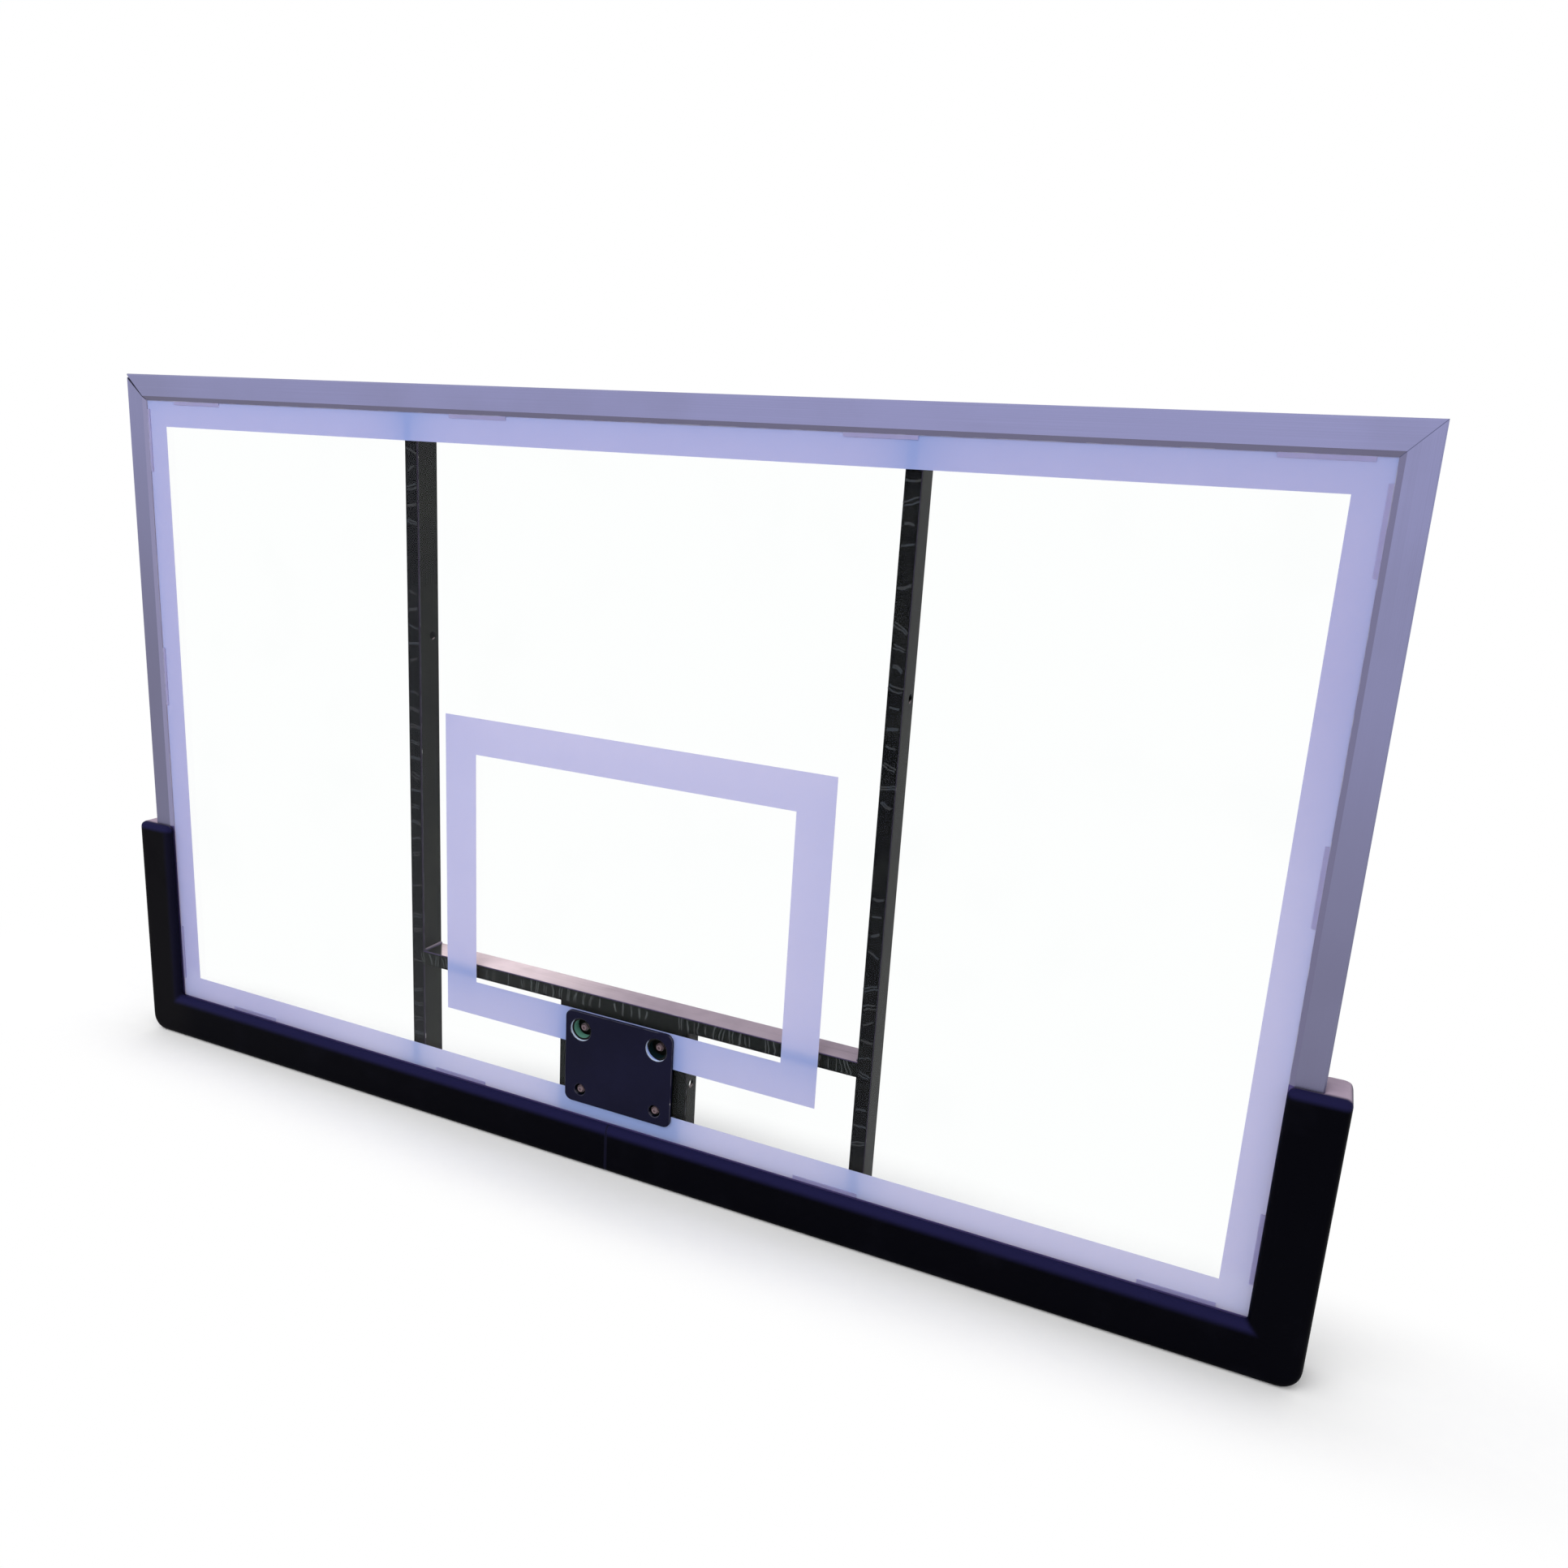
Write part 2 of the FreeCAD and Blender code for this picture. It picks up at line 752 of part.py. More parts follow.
group("upright_feet", [upright_foot(side, top) for side in SIDES for top in SIDES])
foot_screws = []
for top in SIDES:
    level = half_height + (half_height - screw_line) * top
    for number, place in enumerate(foot_places()):
        length = size.foot_thickness + size.rail_wall + size.screw_grip
        seat = rail_back + size.foot_thickness
        foot_screws.append(screw(f"foot_screw_{top + 1}{number}", place, seat, level, length))
group("foot_screws", foot_screws)

# Rim plate: flat steel with rounded corners, on the print in front of the column.
plate = new_body("rim_plate")
plate_back = print_front
plate_front = plate_back - size.plate_thickness
plate_low = size.rim_lower_level - size.plate_lower_margin
plate_half = size.plate_width / 2
face = front_sketch(plate, plate_front)
rectangle(face, -plate_half, plate_half, plate_low, plate_low + size.plate_height)
rim_holes(face, size.plate_upper_hole, size.plate_lower_hole)
pad(plate, face, size.plate_thickness, True)
ease(plate, "Fillet", size.plate_corner, lambda edge: runs_along(edge, 1) and (
    abs(abs(edge.CenterOfMass.x) - plate_half.number) < 1e-4))
ease(plate, "Chamfer", size.plate_chamfer, lambda edge: lies_at(edge, 1, plate_front))
node(plate, "rim_plate")


def rim_bolt(name, x, z, end):
    """Hexagon bolt put in from behind, its chamfered end towards the front."""
    tip = doc.addObject("Part::Cone", name + "_tip")
    tip.Placement = FreeCAD.Placement(FreeCAD.Vector(), ALONG_Y)
    bind(tip, "Radius1", size.bolt_diameter / 2 - size.bolt_tip)
    bind(tip, "Radius2", size.bolt_diameter / 2)
    bind(tip, "Height", size.bolt_tip)
    put(tip, x, end, z)
    straight = size.bolt_length - size.bolt_tip
    shank = rod(name + "_shank", size.bolt_diameter, straight, x, end + size.bolt_tip, z)
    head = hexagon(name + "_head", size.bolt_across, size.bolt_head, x, end + size.bolt_length, z)
    return fuse(name, [tip, shank, head])


# Rim bolts in weld nuts behind the column's web, the upper pair turned in less far.
bolts = []
nuts = []
for side in SIDES:
    place = rim_half * side
    for row, level, end in (("lower", size.rim_lower_level, -size.lower_bolt_stand),
                            ("upper", rim_upper_level, size.upper_bolt_recess)):
        name = f"{row}_{side + 1}"
        bolts.append(rim_bolt("rim_bolt_" + name, place, level, end))
        blank = hexagon("nut_blank_" + name, size.bolt_across, size.nut_height, place, web_back, level)
        thread = rod("nut_thread_" + name, size.bolt_diameter, size.nut_height + size.overrun * 2,
                     place, web_back - size.overrun, level)
        nuts.append(cut("weld_nut_" + name, blank, thread))
group("rim_bolts", bolts)
group("rim_weld_nuts", nuts)


def pad_piece(side, word):
    """Moulded pad: an L that wraps the lower corner of the frame, with a thin lip behind the rails."""
    body = new_body(f"{word}_pad")
    seam = size.seam_offset + size.seam_gap / 2 * side
    inside = half_width - size.rail_face
    top = size.pad_top_level
    face = front_sketch(body, pad_front_face)
    outline(face, [
        (pad_edge * side, top),
        (pad_edge * side, pad_foot),
        (seam, pad_foot),
        (seam, size.rail_face),
        (inside * side, size.rail_face),
        (inside * side, top),
    ])
    pad(body, face, pad_back_face - pad_front_face, True)
    ease(body, "Fillet", size.pad_corner, lambda edge: runs_along(edge, 1) and (
        abs(edge.CenterOfMass.x - pad_edge.number * side) < 1e-4
        and abs(edge.CenterOfMass.z - pad_foot.number) < 1e-4))

    def rounded(edge):
        if abs(edge.CenterOfMass.x - seam.number) < 1e-4:
            return False
        if lies_at(edge, 1, pad_front_face) or lies_at(edge, 1, pad_back_face):
            return True
        return runs_along(edge, 1) and lies_at(edge, 2, top)

    ease(body, "Fillet", size.pad_round, rounded)
    over = size.overrun
    past_seam = seam - over * side
    open_side = (inside - over) * side

    def clear(plane, cover, depth):
        """Cut an L that starts this far in from the frame's edge and opens at the pad's inner side."""
        space = front_sketch(body, plane)
        outline(space, [
            ((half_width - cover) * side, top + over),
            ((half_width - cover) * side, cover),
            (past_seam, cover),
            (past_seam, size.rail_face + over),
            (open_side, size.rail_face + over),
            (open_side, top + over),
        ])
        pocket(body, space, depth)

    clear(face_front, ZERO, size.rail_depth)
    clear(rail_back - over, size.pad_lip_cover, size.pad_lip + over * 2)
    clear(pad_lip_back, ZERO, size.pad_back - size.pad_lip + over)
    back_cuts = front_sketch(body, rail_back - over)
    relief = size.screw_head + size.pad_notch_clearance * 2
    circle(back_cuts, (half_width - size.key_screw_place) * side, screw_line, relief)
    circle(back_cuts, (half_width - screw_line) * side, size.key_screw_place, relief)
    notch = size.foot_width / 2 + size.pad_notch_clearance
    rectangle(back_cuts, upright_place * side - notch, upright_place * side + notch,
              size.foot_margin, size.rail_face + over)
    for place in pad_bottom_places:
        circle(back_cuts, place * side, screw_line, screw_hole)
    for level in pad_side_levels:
        circle(back_cuts, (half_width - screw_line) * side, level, screw_hole)
    pocket(body, back_cuts, size.pad_lip + over * 2)
    return node(body, f"{word}_pad")


pad_piece(-1, "left")
pad_piece(1, "right")

# Screws and washers that hold the lip of the pads to the rails.
pad_screws = []
washers = []
for side in SIDES:
    spots = [(place * side, screw_line) for place in pad_bottom_places]
    spots += [((half_width - screw_line) * side, level) for level in pad_side_levels]
    for number, (x, z) in enumerate(spots):
        name = f"{side + 1}{number}"
        seat = pad_lip_back + size.washer_thickness
        length = size.washer_thickness + size.pad_lip + size.rail_wall + size.screw_grip
        pad_screws.append(screw("pad_screw_" + name, x, seat, z, length))
        disc = rod("washer_disc_" + name, size.washer_diameter, size.washer_thickness,
                   x, pad_lip_back, z)
        hole = rod("washer_hole_" + name, screw_hole, size.washer_thickness + size.overrun * 2,
                   x, pad_lip_back - size.overrun, z)
        washers.append(cut("pad_washer_" + name, disc, hole))
group("pad_screws", pad_screws)
group("pad_washers", washers)

doc.recompute()
for thing in doc.Objects:
    if "Invalid" in thing.State or "Error" in thing.State:
        raise ValueError(f"{thing.Label} failed: {thing.State}")
for thing in nodes:
    if thing.Shape.isNull() or not thing.Shape.isValid():
        raise ValueError(f"{thing.Label} has no valid shape")
os.makedirs("parts", exist_ok=True)
for thing in nodes:
    thing.Shape.exportStep(f"parts/{thing.Label}.step")
    print(f"{thing.Label}: {len(thing.Shape.Solids)} solids, {thing.Shape.Volume:.0f} mm3")
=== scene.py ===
import math

import bmesh
import bpy
from mathutils import Matrix, Vector


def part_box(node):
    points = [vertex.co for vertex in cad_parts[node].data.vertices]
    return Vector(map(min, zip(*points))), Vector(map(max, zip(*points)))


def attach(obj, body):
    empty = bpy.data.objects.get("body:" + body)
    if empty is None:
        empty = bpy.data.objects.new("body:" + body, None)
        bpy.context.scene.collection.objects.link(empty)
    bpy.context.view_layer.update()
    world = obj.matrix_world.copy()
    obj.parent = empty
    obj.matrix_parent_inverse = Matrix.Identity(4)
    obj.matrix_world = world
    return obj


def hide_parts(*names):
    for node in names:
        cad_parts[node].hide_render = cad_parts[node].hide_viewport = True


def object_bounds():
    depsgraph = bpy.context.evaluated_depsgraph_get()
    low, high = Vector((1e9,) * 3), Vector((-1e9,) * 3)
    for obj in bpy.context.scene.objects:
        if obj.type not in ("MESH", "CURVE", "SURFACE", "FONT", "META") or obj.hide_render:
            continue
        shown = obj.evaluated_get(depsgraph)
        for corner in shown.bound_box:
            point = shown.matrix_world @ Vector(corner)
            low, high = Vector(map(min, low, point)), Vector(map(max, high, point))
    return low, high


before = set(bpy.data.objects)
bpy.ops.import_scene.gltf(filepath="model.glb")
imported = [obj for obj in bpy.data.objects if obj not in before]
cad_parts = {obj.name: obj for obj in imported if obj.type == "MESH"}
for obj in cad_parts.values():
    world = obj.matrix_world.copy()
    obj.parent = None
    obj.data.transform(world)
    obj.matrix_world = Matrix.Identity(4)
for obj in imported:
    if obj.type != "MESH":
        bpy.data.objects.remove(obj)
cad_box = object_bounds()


# Frame rails
# Four hollow aluminium extrusions, sawn to a mitre, joined by keys and anodised a satin silver.
# Pulling the metal through its die left faint lines along each rail; the sharp edges are rubbed bright.

MM = 0.001


def colour(red, green, blue):
    """Linear colour from the eight-bit values that a picture shows."""
    shares = [value / 255 for value in (red, green, blue)]
    linear = [s / 12.92 if s < 0.04 else ((s + 0.055) / 1.055) ** 2.4 for s in shares]
    return (*linear, 1.0)


def add(tree, kind, inputs=None, **settings):
    """New node with its settings; an input takes a value or another node's output."""
    node = tree.nodes.new(kind)
    for name, value in settings.items():
        setattr(node, name, value)
    for key, value in (inputs or {}).items():
        if isinstance(value, bpy.types.NodeSocket):
            tree.links.new(value, node.inputs[key])
        else:
            node.inputs[key].default_value = value
    return node


def made(tree, kind, inputs=None, **settings):
    """First output of a new node."""
    return add(tree, kind, inputs, **settings).outputs[0]


def maths(tree, operation, *values):
    return made(tree, "ShaderNodeMath", dict(enumerate(values)), operation=operation)


def times(tree, first, second):
    return maths(tree, "MULTIPLY", first, second)


def vector_maths(tree, operation, *values):
    node = add(tree, "ShaderNodeVectorMath", dict(enumerate(values)), operation=operation)
    return node.outputs["Value" if operation in ("DOT_PRODUCT", "LENGTH", "DISTANCE") else "Vector"]


def split(tree, vector):
    """The x, y and z outputs of a vector."""
    return add(tree, "ShaderNodeSeparateXYZ", {0: vector}).outputs


def noise(tree, place, scale, detail=2.0):
    return made(tree, "ShaderNodeTexNoise", {"Vector": place, "Scale": scale, "Detail": detail})


def ramp(tree, value, start, stop):
    """Soft step from 0 at start to 1 at stop."""
    limits = {"Value": value, "From Min": start, "From Max": stop}
    return made(tree, "ShaderNodeMapRange", limits, interpolation_type="SMOOTHSTEP")


def between(tree, share, low, high):
    """Number that goes from low to high with the share."""
    return made(tree, "ShaderNodeMapRange", {"Value": share, "To Min": low, "To Max": high})


def mixed(tree, share, first, second):
    """Colour that goes from the first to the second with the share."""
    return add(tree, "ShaderNodeMix", {0: share, 6: first, 7: second}, data_type="RGBA").outputs[2]


def bump(tree, height, depth):
    return add(tree, "ShaderNodeBump", {"Height": height, "Distance": depth}).outputs["Normal"]


def object_place(tree):
    return add(tree, "ShaderNodeTexCoord").outputs["Object"]


def own_normal(tree):
    return add(tree, "ShaderNodeTexCoord").outputs["Normal"]


def shader_group(name, inputs, outputs):
    """Empty shader group with named sockets; gives the tree, its inputs and its output node."""
    tree = bpy.data.node_groups.new(name, "ShaderNodeTree")
    for socket, kind in inputs.items():
        tree.interface.new_socket(socket, in_out="INPUT", socket_type="NodeSocket" + kind)
    for socket, kind in outputs.items():
        tree.interface.new_socket(socket, in_out="OUTPUT", socket_type="NodeSocket" + kind)
    return tree, tree.nodes.new("NodeGroupInput").outputs, tree.nodes.new("NodeGroupOutput")


def new_material(name):
    material = bpy.data.materials.new(name)
    material.use_nodes = True
    return material, material.node_tree, material.node_tree.nodes["Principled BSDF"]


def finish_with(tree, shader, values):
    """Set or link the shader's inputs by name."""
    for name, value in values.items():
        if isinstance(value, bpy.types.NodeSocket):
            tree.links.new(value, shader.inputs[name])
        else:
            shader.inputs[name].default_value = value


def dress(material, *names):
    """Give CAD nodes a finish through their own material slots."""
    for name in names:
        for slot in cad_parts[name].material_slots:
            slot.material = material


# Lines drawn along a piece: noise pulled out by a different scale along each axis.
drawn_lines, given, result = shader_group(
    "drawn_lines", {"Place": "Vector", "Line Scale": "Vector"}, {"Shade": "Float"})
pulled = vector_maths(drawn_lines, "MULTIPLY", given["Place"], given["Line Scale"])
drawn_lines.links.new(noise(drawn_lines, pulled, 1.0, 4.0), result.inputs["Shade"])

# Rubbed edges: where the rounded-over normal leaves the face's own, broken up by noise.
rubbed_edges, given, result = shader_group(
    "rubbed_edges", {"Place": "Vector", "Width": "Float", "Patches": "Float"}, {"Mask": "Float"})
rounded = add(rubbed_edges, "ShaderNodeBevel", {"Radius": given["Width"]}, samples=6).outputs["Normal"]
flat = add(rubbed_edges, "ShaderNodeNewGeometry").outputs["True Normal"]
turned = ramp(rubbed_edges, vector_maths(rubbed_edges, "DOT_PRODUCT", rounded, flat), 0.99, 0.8)
broken = ramp(rubbed_edges, noise(rubbed_edges, given["Place"], given["Patches"], 4.0), 0.45, 0.62)
rubbed_edges.links.new(times(rubbed_edges, turned, broken), result.inputs["Mask"])

# Painted reflection: the rails' silver is a darker grey low on the frame and a paler blue high up.
RAIL_SHADED_GREY_LOW = colour(110, 108, 133)
RAIL_LIT_BLUE_HIGH = colour(157, 158, 205)
RAIL_LIGHT_DRIFT = (0.4, 0.0, 3.5)
RAIL_LIGHT_DRIFT_ENDS = (1.0, 4.0)
RAIL_DULL = colour(127, 127, 158)
RAIL_RUBBED = colour(182, 183, 199)
RAIL_CUT = colour(80, 83, 116)
RAIL_CUT_WIDTH = 0.8 * MM
RAIL_GRIME_AND_SHADE = colour(80, 71, 122)
BEVEL_FROM = (0.82, 0.88)
BEVEL_TO = (0.96, 0.93)

low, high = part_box("frame_top")
frame_corner = (high.x, high.z)
low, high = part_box("left_pad")
pad_top = high.z
low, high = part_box("glass_panel")
glass_front = low.y


def anodised(name, line_scale, bevel_painted_shade):
    material, tree, shader = new_material(name)
    place = object_place(tree)
    spot = split(tree, place)
    facing = own_normal(tree)
    turn = maths(tree, "ABSOLUTE", split(tree, facing)[1])
    turned = ramp(tree, turn, *BEVEL_TO)
    bevel = times(tree, ramp(tree, turn, *BEVEL_FROM), turned)
    # Grime and painted shade in the wedge gap under the pads, on faces that turn from the front.
    beside_pad = times(tree, maths(tree, "LESS_THAN", spot[2], pad_top),
                       maths(tree, "LESS_THAN", spot[1], glass_front))
    outward = maths(tree, "SUBTRACT", maths(tree, "ABSOLUTE", spot[0]), frame_corner[0])
    upward = maths(tree, "SUBTRACT", spot[2], frame_corner[1])
    from_cut = maths(tree, "ABSOLUTE", maths(tree, "SUBTRACT", outward, upward))
    lines = add(tree, "ShaderNodeGroup", {"Place": place, "Line Scale": line_scale},
                node_tree=drawn_lines).outputs["Shade"]
    stains = ramp(tree, noise(tree, place, 5.0, 6.0), 0.42, 0.7)
    worn = add(tree, "ShaderNodeGroup", {"Place": place, "Width": 0.7 * MM, "Patches": 40.0},
               node_tree=rubbed_edges).outputs["Mask"]
    # Painted reflection by height, from the darker grey below to the paler blue above.
    drift = ramp(tree, vector_maths(tree, "DOT_PRODUCT", place, RAIL_LIGHT_DRIFT), *RAIL_LIGHT_DRIFT_ENDS)
    silver = mixed(tree, drift, RAIL_SHADED_GREY_LOW, RAIL_LIT_BLUE_HIGH)
    silver = mixed(tree, between(tree, lines, 0.0, 0.5), silver, RAIL_DULL)
    silver = mixed(tree, between(tree, stains, 0.0, 0.35), silver, RAIL_DULL)
    # The bevel takes its own colour, a painted light and shade given for each rail.
    silver = mixed(tree, between(tree, bevel, 0.0, 0.8), silver, bevel_painted_shade)
    silver = mixed(tree, between(tree, worn, 0.0, 0.6), silver, RAIL_RUBBED)
    silver = mixed(tree, ramp(tree, from_cut, RAIL_CUT_WIDTH, 0.0), silver, RAIL_CUT)
    finish_with(tree, shader, {
        "Base Color": mixed(tree, times(tree, turned, beside_pad), silver, RAIL_GRIME_AND_SHADE),
        "Metallic": 0.85,
        "Roughness": between(tree, lines, 0.36, 0.5),
        "Normal": bump(tree, lines, 0.03 * MM),
    })
    return material


LINES_ACROSS = (3.0, 1500.0, 1500.0)
LINES_UP = (1500.0, 1500.0, 3.0)
# Painted light and shade on the bevels: darker on the top and bottom rails, lighter on the left rail,
# darker on the right rail.
dress(anodised("anodised_across_shaded_bevel", LINES_ACROSS, colour(101, 97, 116)), "frame_top", "frame_bottom")
dress(anodised("anodised_left_lit_bevel", LINES_UP, colour(148, 145, 179)), "frame_left")
dress(anodised("anodised_right_shaded_bevel", LINES_UP, colour(116, 113, 142)), "frame_right")


# Corner keys
# Solid cast aluminium L pieces pushed into the hollow rail ends. Their near-black colour is
# painted shade, for the deep gap where they sit. Only the open mitre lets one be glimpsed.

key_in_painted_shade, tree, shader = new_material("key_cast_aluminium_painted_shade")
place = object_place(tree)
grain = noise(tree, place, 900.0, 3.0)
finish_with(tree, shader, {
    "Base Color": mixed(tree, grain, colour(12, 12, 26), colour(20, 20, 36)),
    "Metallic": 0.3,
    "Roughness": between(tree, grain, 0.45, 0.7),
    "Normal": bump(tree, grain, 0.1 * MM),
})
dress(key_in_painted_shade, "corner_keys")


# Corner screws
# Zinc plated pan-head screws through the rails' rear wall into the keys, two at each corner.
# The plating is a little cloudy, with a faint warm cast.

def zinc_plate(name, bright, cloudy):
    material, tree, shader = new_material(name)
    place = object_place(tree)
    clouds = noise(tree, place, 160.0, 4.0)
    grain = noise(tree, place, 2400.0, 2.0)
    finish_with(tree, shader, {
        "Base Color": mixed(tree, clouds, bright, cloudy),
        "Metallic": 0.9,
        "Roughness": between(tree, clouds, 0.26, 0.5),
        "Normal": bump(tree, grain, 0.02 * MM),
    })
    return material


def solids_of(name):
    """Lowest and highest corner of each separate solid in a CAD node, and its points."""
    mesh = bmesh.new()
    mesh.from_mesh(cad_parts[name].data)
    bmesh.ops.remove_doubles(mesh, verts=mesh.verts, dist=0.001 * MM)
    waiting = set(mesh.verts)
    solids = []
    while waiting:
        reached = [waiting.pop()]
        for vertex in reached:
            fresh = {edge.other_vert(vertex) for edge in vertex.link_edges} & waiting
            waiting -= fresh
            reached.extend(fresh)
        points = [vertex.co.copy() for vertex in reached]
        low = Vector(map(min, zip(*points)))
        high = Vector(map(max, zip(*points)))
        solids.append((low, high, points))
    mesh.free()
    return sorted(solids, key=lambda solid: tuple(solid[0]))


def geometry_tree(name, *sizes):
    """Geometry tree with named sizes; gives the tree and its inputs."""
    tree = bpy.data.node_groups.new(name, "GeometryNodeTree")
    tree.interface.new_socket("Geometry", in_out="INPUT", socket_type="NodeSocketGeometry")
    for size in sizes:
        tree.interface.new_socket(size, in_out="INPUT", socket_type="NodeSocketFloat")
    tree.interface.new_socket("Material", in_out="INPUT", socket_type="NodeSocketMaterial")
    tree.interface.new_socket("Geometry", in_out="OUTPUT", socket_type="NodeSocketGeometry")
    return tree, tree.nodes.new("NodeGroupInput").outputs


def end_tree(tree, geometry, material):
    real = made(tree, "GeometryNodeRealizeInstances", {"Geometry": geometry})
    painted = made(tree, "GeometryNodeSetMaterial", {"Geometry": real, "Material": material})
    add(tree, "NodeGroupOutput", {"Geometry": painted})


def moved(tree, geometry, **change):
    """Geometry with a Translation, Rotation or Scale."""
    return made(tree, "GeometryNodeTransform", {"Geometry": geometry, **change})


def lifted(tree, geometry, height):
    shift = made(tree, "ShaderNodeCombineXYZ", {"Z": height})
    return moved(tree, geometry, Translation=shift)


def joined(tree, *parts):
    node = tree.nodes.new("GeometryNodeJoinGeometry")
    for part in parts:
        tree.links.new(part, node.inputs[0])
    return node.outputs[0]


def carved(tree, body, *tools):
    """The body with the tools cut out of it."""
    node = add(tree, "GeometryNodeMeshBoolean", {0: body}, operation="DIFFERENCE", solver="EXACT")
    for tool in tools:
        tree.links.new(tool, node.inputs[1])
    return node.outputs["Mesh"]


def cylinder(tree, radius, depth, sides):
    sizes = {"Vertices": sides, "Radius": radius, "Depth": depth}
    return add(tree, "GeometryNodeMeshCylinder", sizes).outputs["Mesh"]


TURN_TO_BACK = (-math.pi / 2, 0.0, 0.0)


def placed(tree, points, instance):
    """The instance on every point, its own z turned to point backwards."""
    return made(tree, "GeometryNodeInstanceOnPoints", {
        "Points": points, "Instance": instance, "Rotation": TURN_TO_BACK})


scene = bpy.context.scene


def grow(name, tree, values, points, edges=(), bevel=0.0, smooth=35):
    """Run a geometry tree on points or edges and keep what it makes as a plain mesh."""
    seeds = bpy.data.meshes.new(name)
    seeds.from_pydata(points, edges, [])
    piece = bpy.data.objects.new(name, seeds)
    scene.collection.objects.link(piece)
    modifier = piece.modifiers.new(tree.name, "NODES")
    modifier.node_group = tree
    for item in tree.interface.items_tree:
        if item.in_out == "INPUT" and item.name in values:
            modifier[item.identifier] = values[item.name]
    if bevel:
        edge = piece.modifiers.new("eased_edges", "BEVEL")
        edge.width = bevel
        edge.segments = 2
    settle(piece)
    bpy.data.meshes.remove(seeds)
    piece.data.name = name
    coat(piece, values["Material"])
    piece.data.shade_smooth()
    piece.data.set_sharp_from_angle(angle=math.radians(smooth))
    return piece


def settle(piece):
    """Turn a piece's modifiers into its mesh."""
    depsgraph = bpy.context.evaluated_depsgraph_get()
    mesh = bpy.data.meshes.new_from_object(piece.evaluated_get(depsgraph), depsgraph=depsgraph)
    piece.modifiers.clear()
    piece.data = mesh


def coat(piece, material):
    """Give a piece one material all over."""
    piece.data.materials.clear()
    piece.data.materials.append(material)
    piece.data.polygons.foreach_set("material_index", [0] * len(piece.data.polygons))


def stand_for(piece, slot, *names):
    """Fix a finished piece to the board in place of CAD nodes."""
    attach(piece, "root")
    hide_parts(*names)


# A pan-head screw: a dome on a flat underside, a cross cut in it, and a plain shank.
screw, given = geometry_tree(
    "pan_head_screws", "Head Diameter", "Head Height", "Shank Diameter", "Length")
DOME_POWER = 3.0
DOME_FOOT = 0.0001
RECESS_SHARES = (0.56, 0.13)
SHANK_SIDES = 16
ball = add(screw, "GeometryNodeMeshUVSphere", {"Segments": 28, "Rings": 16, "Radius": 1.0})
x, y, z = split(screw, made(screw, "GeometryNodeInputPosition"))
across = maths(screw, "ADD", times(screw, x, x), times(screw, y, y))
across = maths(screw, "SQRT", across)
rest = maths(screw, "SUBTRACT", 1.0, maths(screw, "POWER", across, DOME_POWER))
rest = maths(screw, "MAXIMUM", rest, 0.0)
rise = times(screw, maths(screw, "POWER", rest, 1 / DOME_POWER), given["Head Height"])
rise = times(screw, rise, maths(screw, "GREATER_THAN", z, DOME_FOOT))
radius = times(screw, given["Head Diameter"], 0.5)
shape = made(screw, "ShaderNodeCombineXYZ", {
    "X": times(screw, x, radius), "Y": times(screw, y, radius), "Z": rise})
head = made(screw, "GeometryNodeSetPosition", {
    "Geometry": ball.outputs["Mesh"], "Position": shape})
slots = []
for first, second in (RECESS_SHARES, RECESS_SHARES[::-1]):
    bar = made(screw, "ShaderNodeCombineXYZ", {
        "X": times(screw, given["Head Diameter"], first),
        "Y": times(screw, given["Head Diameter"], second),
        "Z": given["Head Height"],
    })
    cube = add(screw, "GeometryNodeMeshCube", {"Size": bar}).outputs["Mesh"]
    slots.append(lifted(screw, cube, given["Head Height"]))
head = carved(screw, head, *slots)
shank_radius = times(screw, given["Shank Diameter"], 0.5)
shank = cylinder(screw, shank_radius, given["Length"], SHANK_SIDES)
shank = lifted(screw, shank, times(screw, given["Length"], -0.5))
whole = joined(screw, head, shank)
end_tree(screw, placed(screw, given["Geometry"], whole), given["Material"])

screw_zinc = zinc_plate("screw_zinc", colour(176, 170, 172), colour(138, 131, 132))
SCREW_HEAD_HEIGHT = 3.2 * MM
SCREW_SHANK = 5.0 * MM


def seats_under(solids, head_height):
    """The point under each solid's head, which stands at its back."""
    middles = [((low + high) / 2, high.y) for low, high, points in solids]
    return [(middle.x, back - head_height, middle.z) for middle, back in middles]


def pan_head_screws(node):
    """Screws in place of a CAD node's plain ones, heads to the back."""
    solids = solids_of(node)
    low, high, points = solids[0]
    sizes = {
        "Head Diameter": high.x - low.x,
        "Head Height": SCREW_HEAD_HEIGHT,
        "Shank Diameter": SCREW_SHANK,
        "Length": high.y - low.y - SCREW_HEAD_HEIGHT,
        "Material": screw_zinc,
    }
    piece = grow("zinc_" + node, screw, sizes, seats_under(solids, SCREW_HEAD_HEIGHT))
    stand_for(piece, "zinc_steel", node)


pan_head_screws("corner_screws")


# Setting blocks and gaskets
# Black rubber: blocks that carry and centre the glass edge in the rails, and strips that seat its
# back face on the rails' rear leg. Moulded, matt, with a fine grain.

rubber, tree, shader = new_material("glazing_rubber")
place = object_place(tree)
grain = noise(tree, place, 1800.0, 3.0)
bloom = ramp(tree, noise(tree, place, 30.0, 4.0), 0.4, 0.75)
finish_with(tree, shader, {
    "Base Color": mixed(tree, bloom, colour(20, 20, 22), colour(38, 37, 40)),
    "Roughness": between(tree, grain, 0.6, 0.85),
    "Normal": bump(tree, grain, 0.06 * MM),
})
dress(rubber, "setting_blocks", "glazing_gaskets")


# Glass panel
# Toughened float glass with ground and eased edges, drilled for the rim bolts. It is clear
# through its faces and green where one looks along it, at the edges and the hole walls.

GLASS_CLEARANCE = 0.1 * MM
GLASS_CLEAR = (0.985, 0.997, 0.992, 1.0)
GLASS_FILMED = (0.97, 0.985, 0.98, 1.0)
EDGE_TURN = 0.9

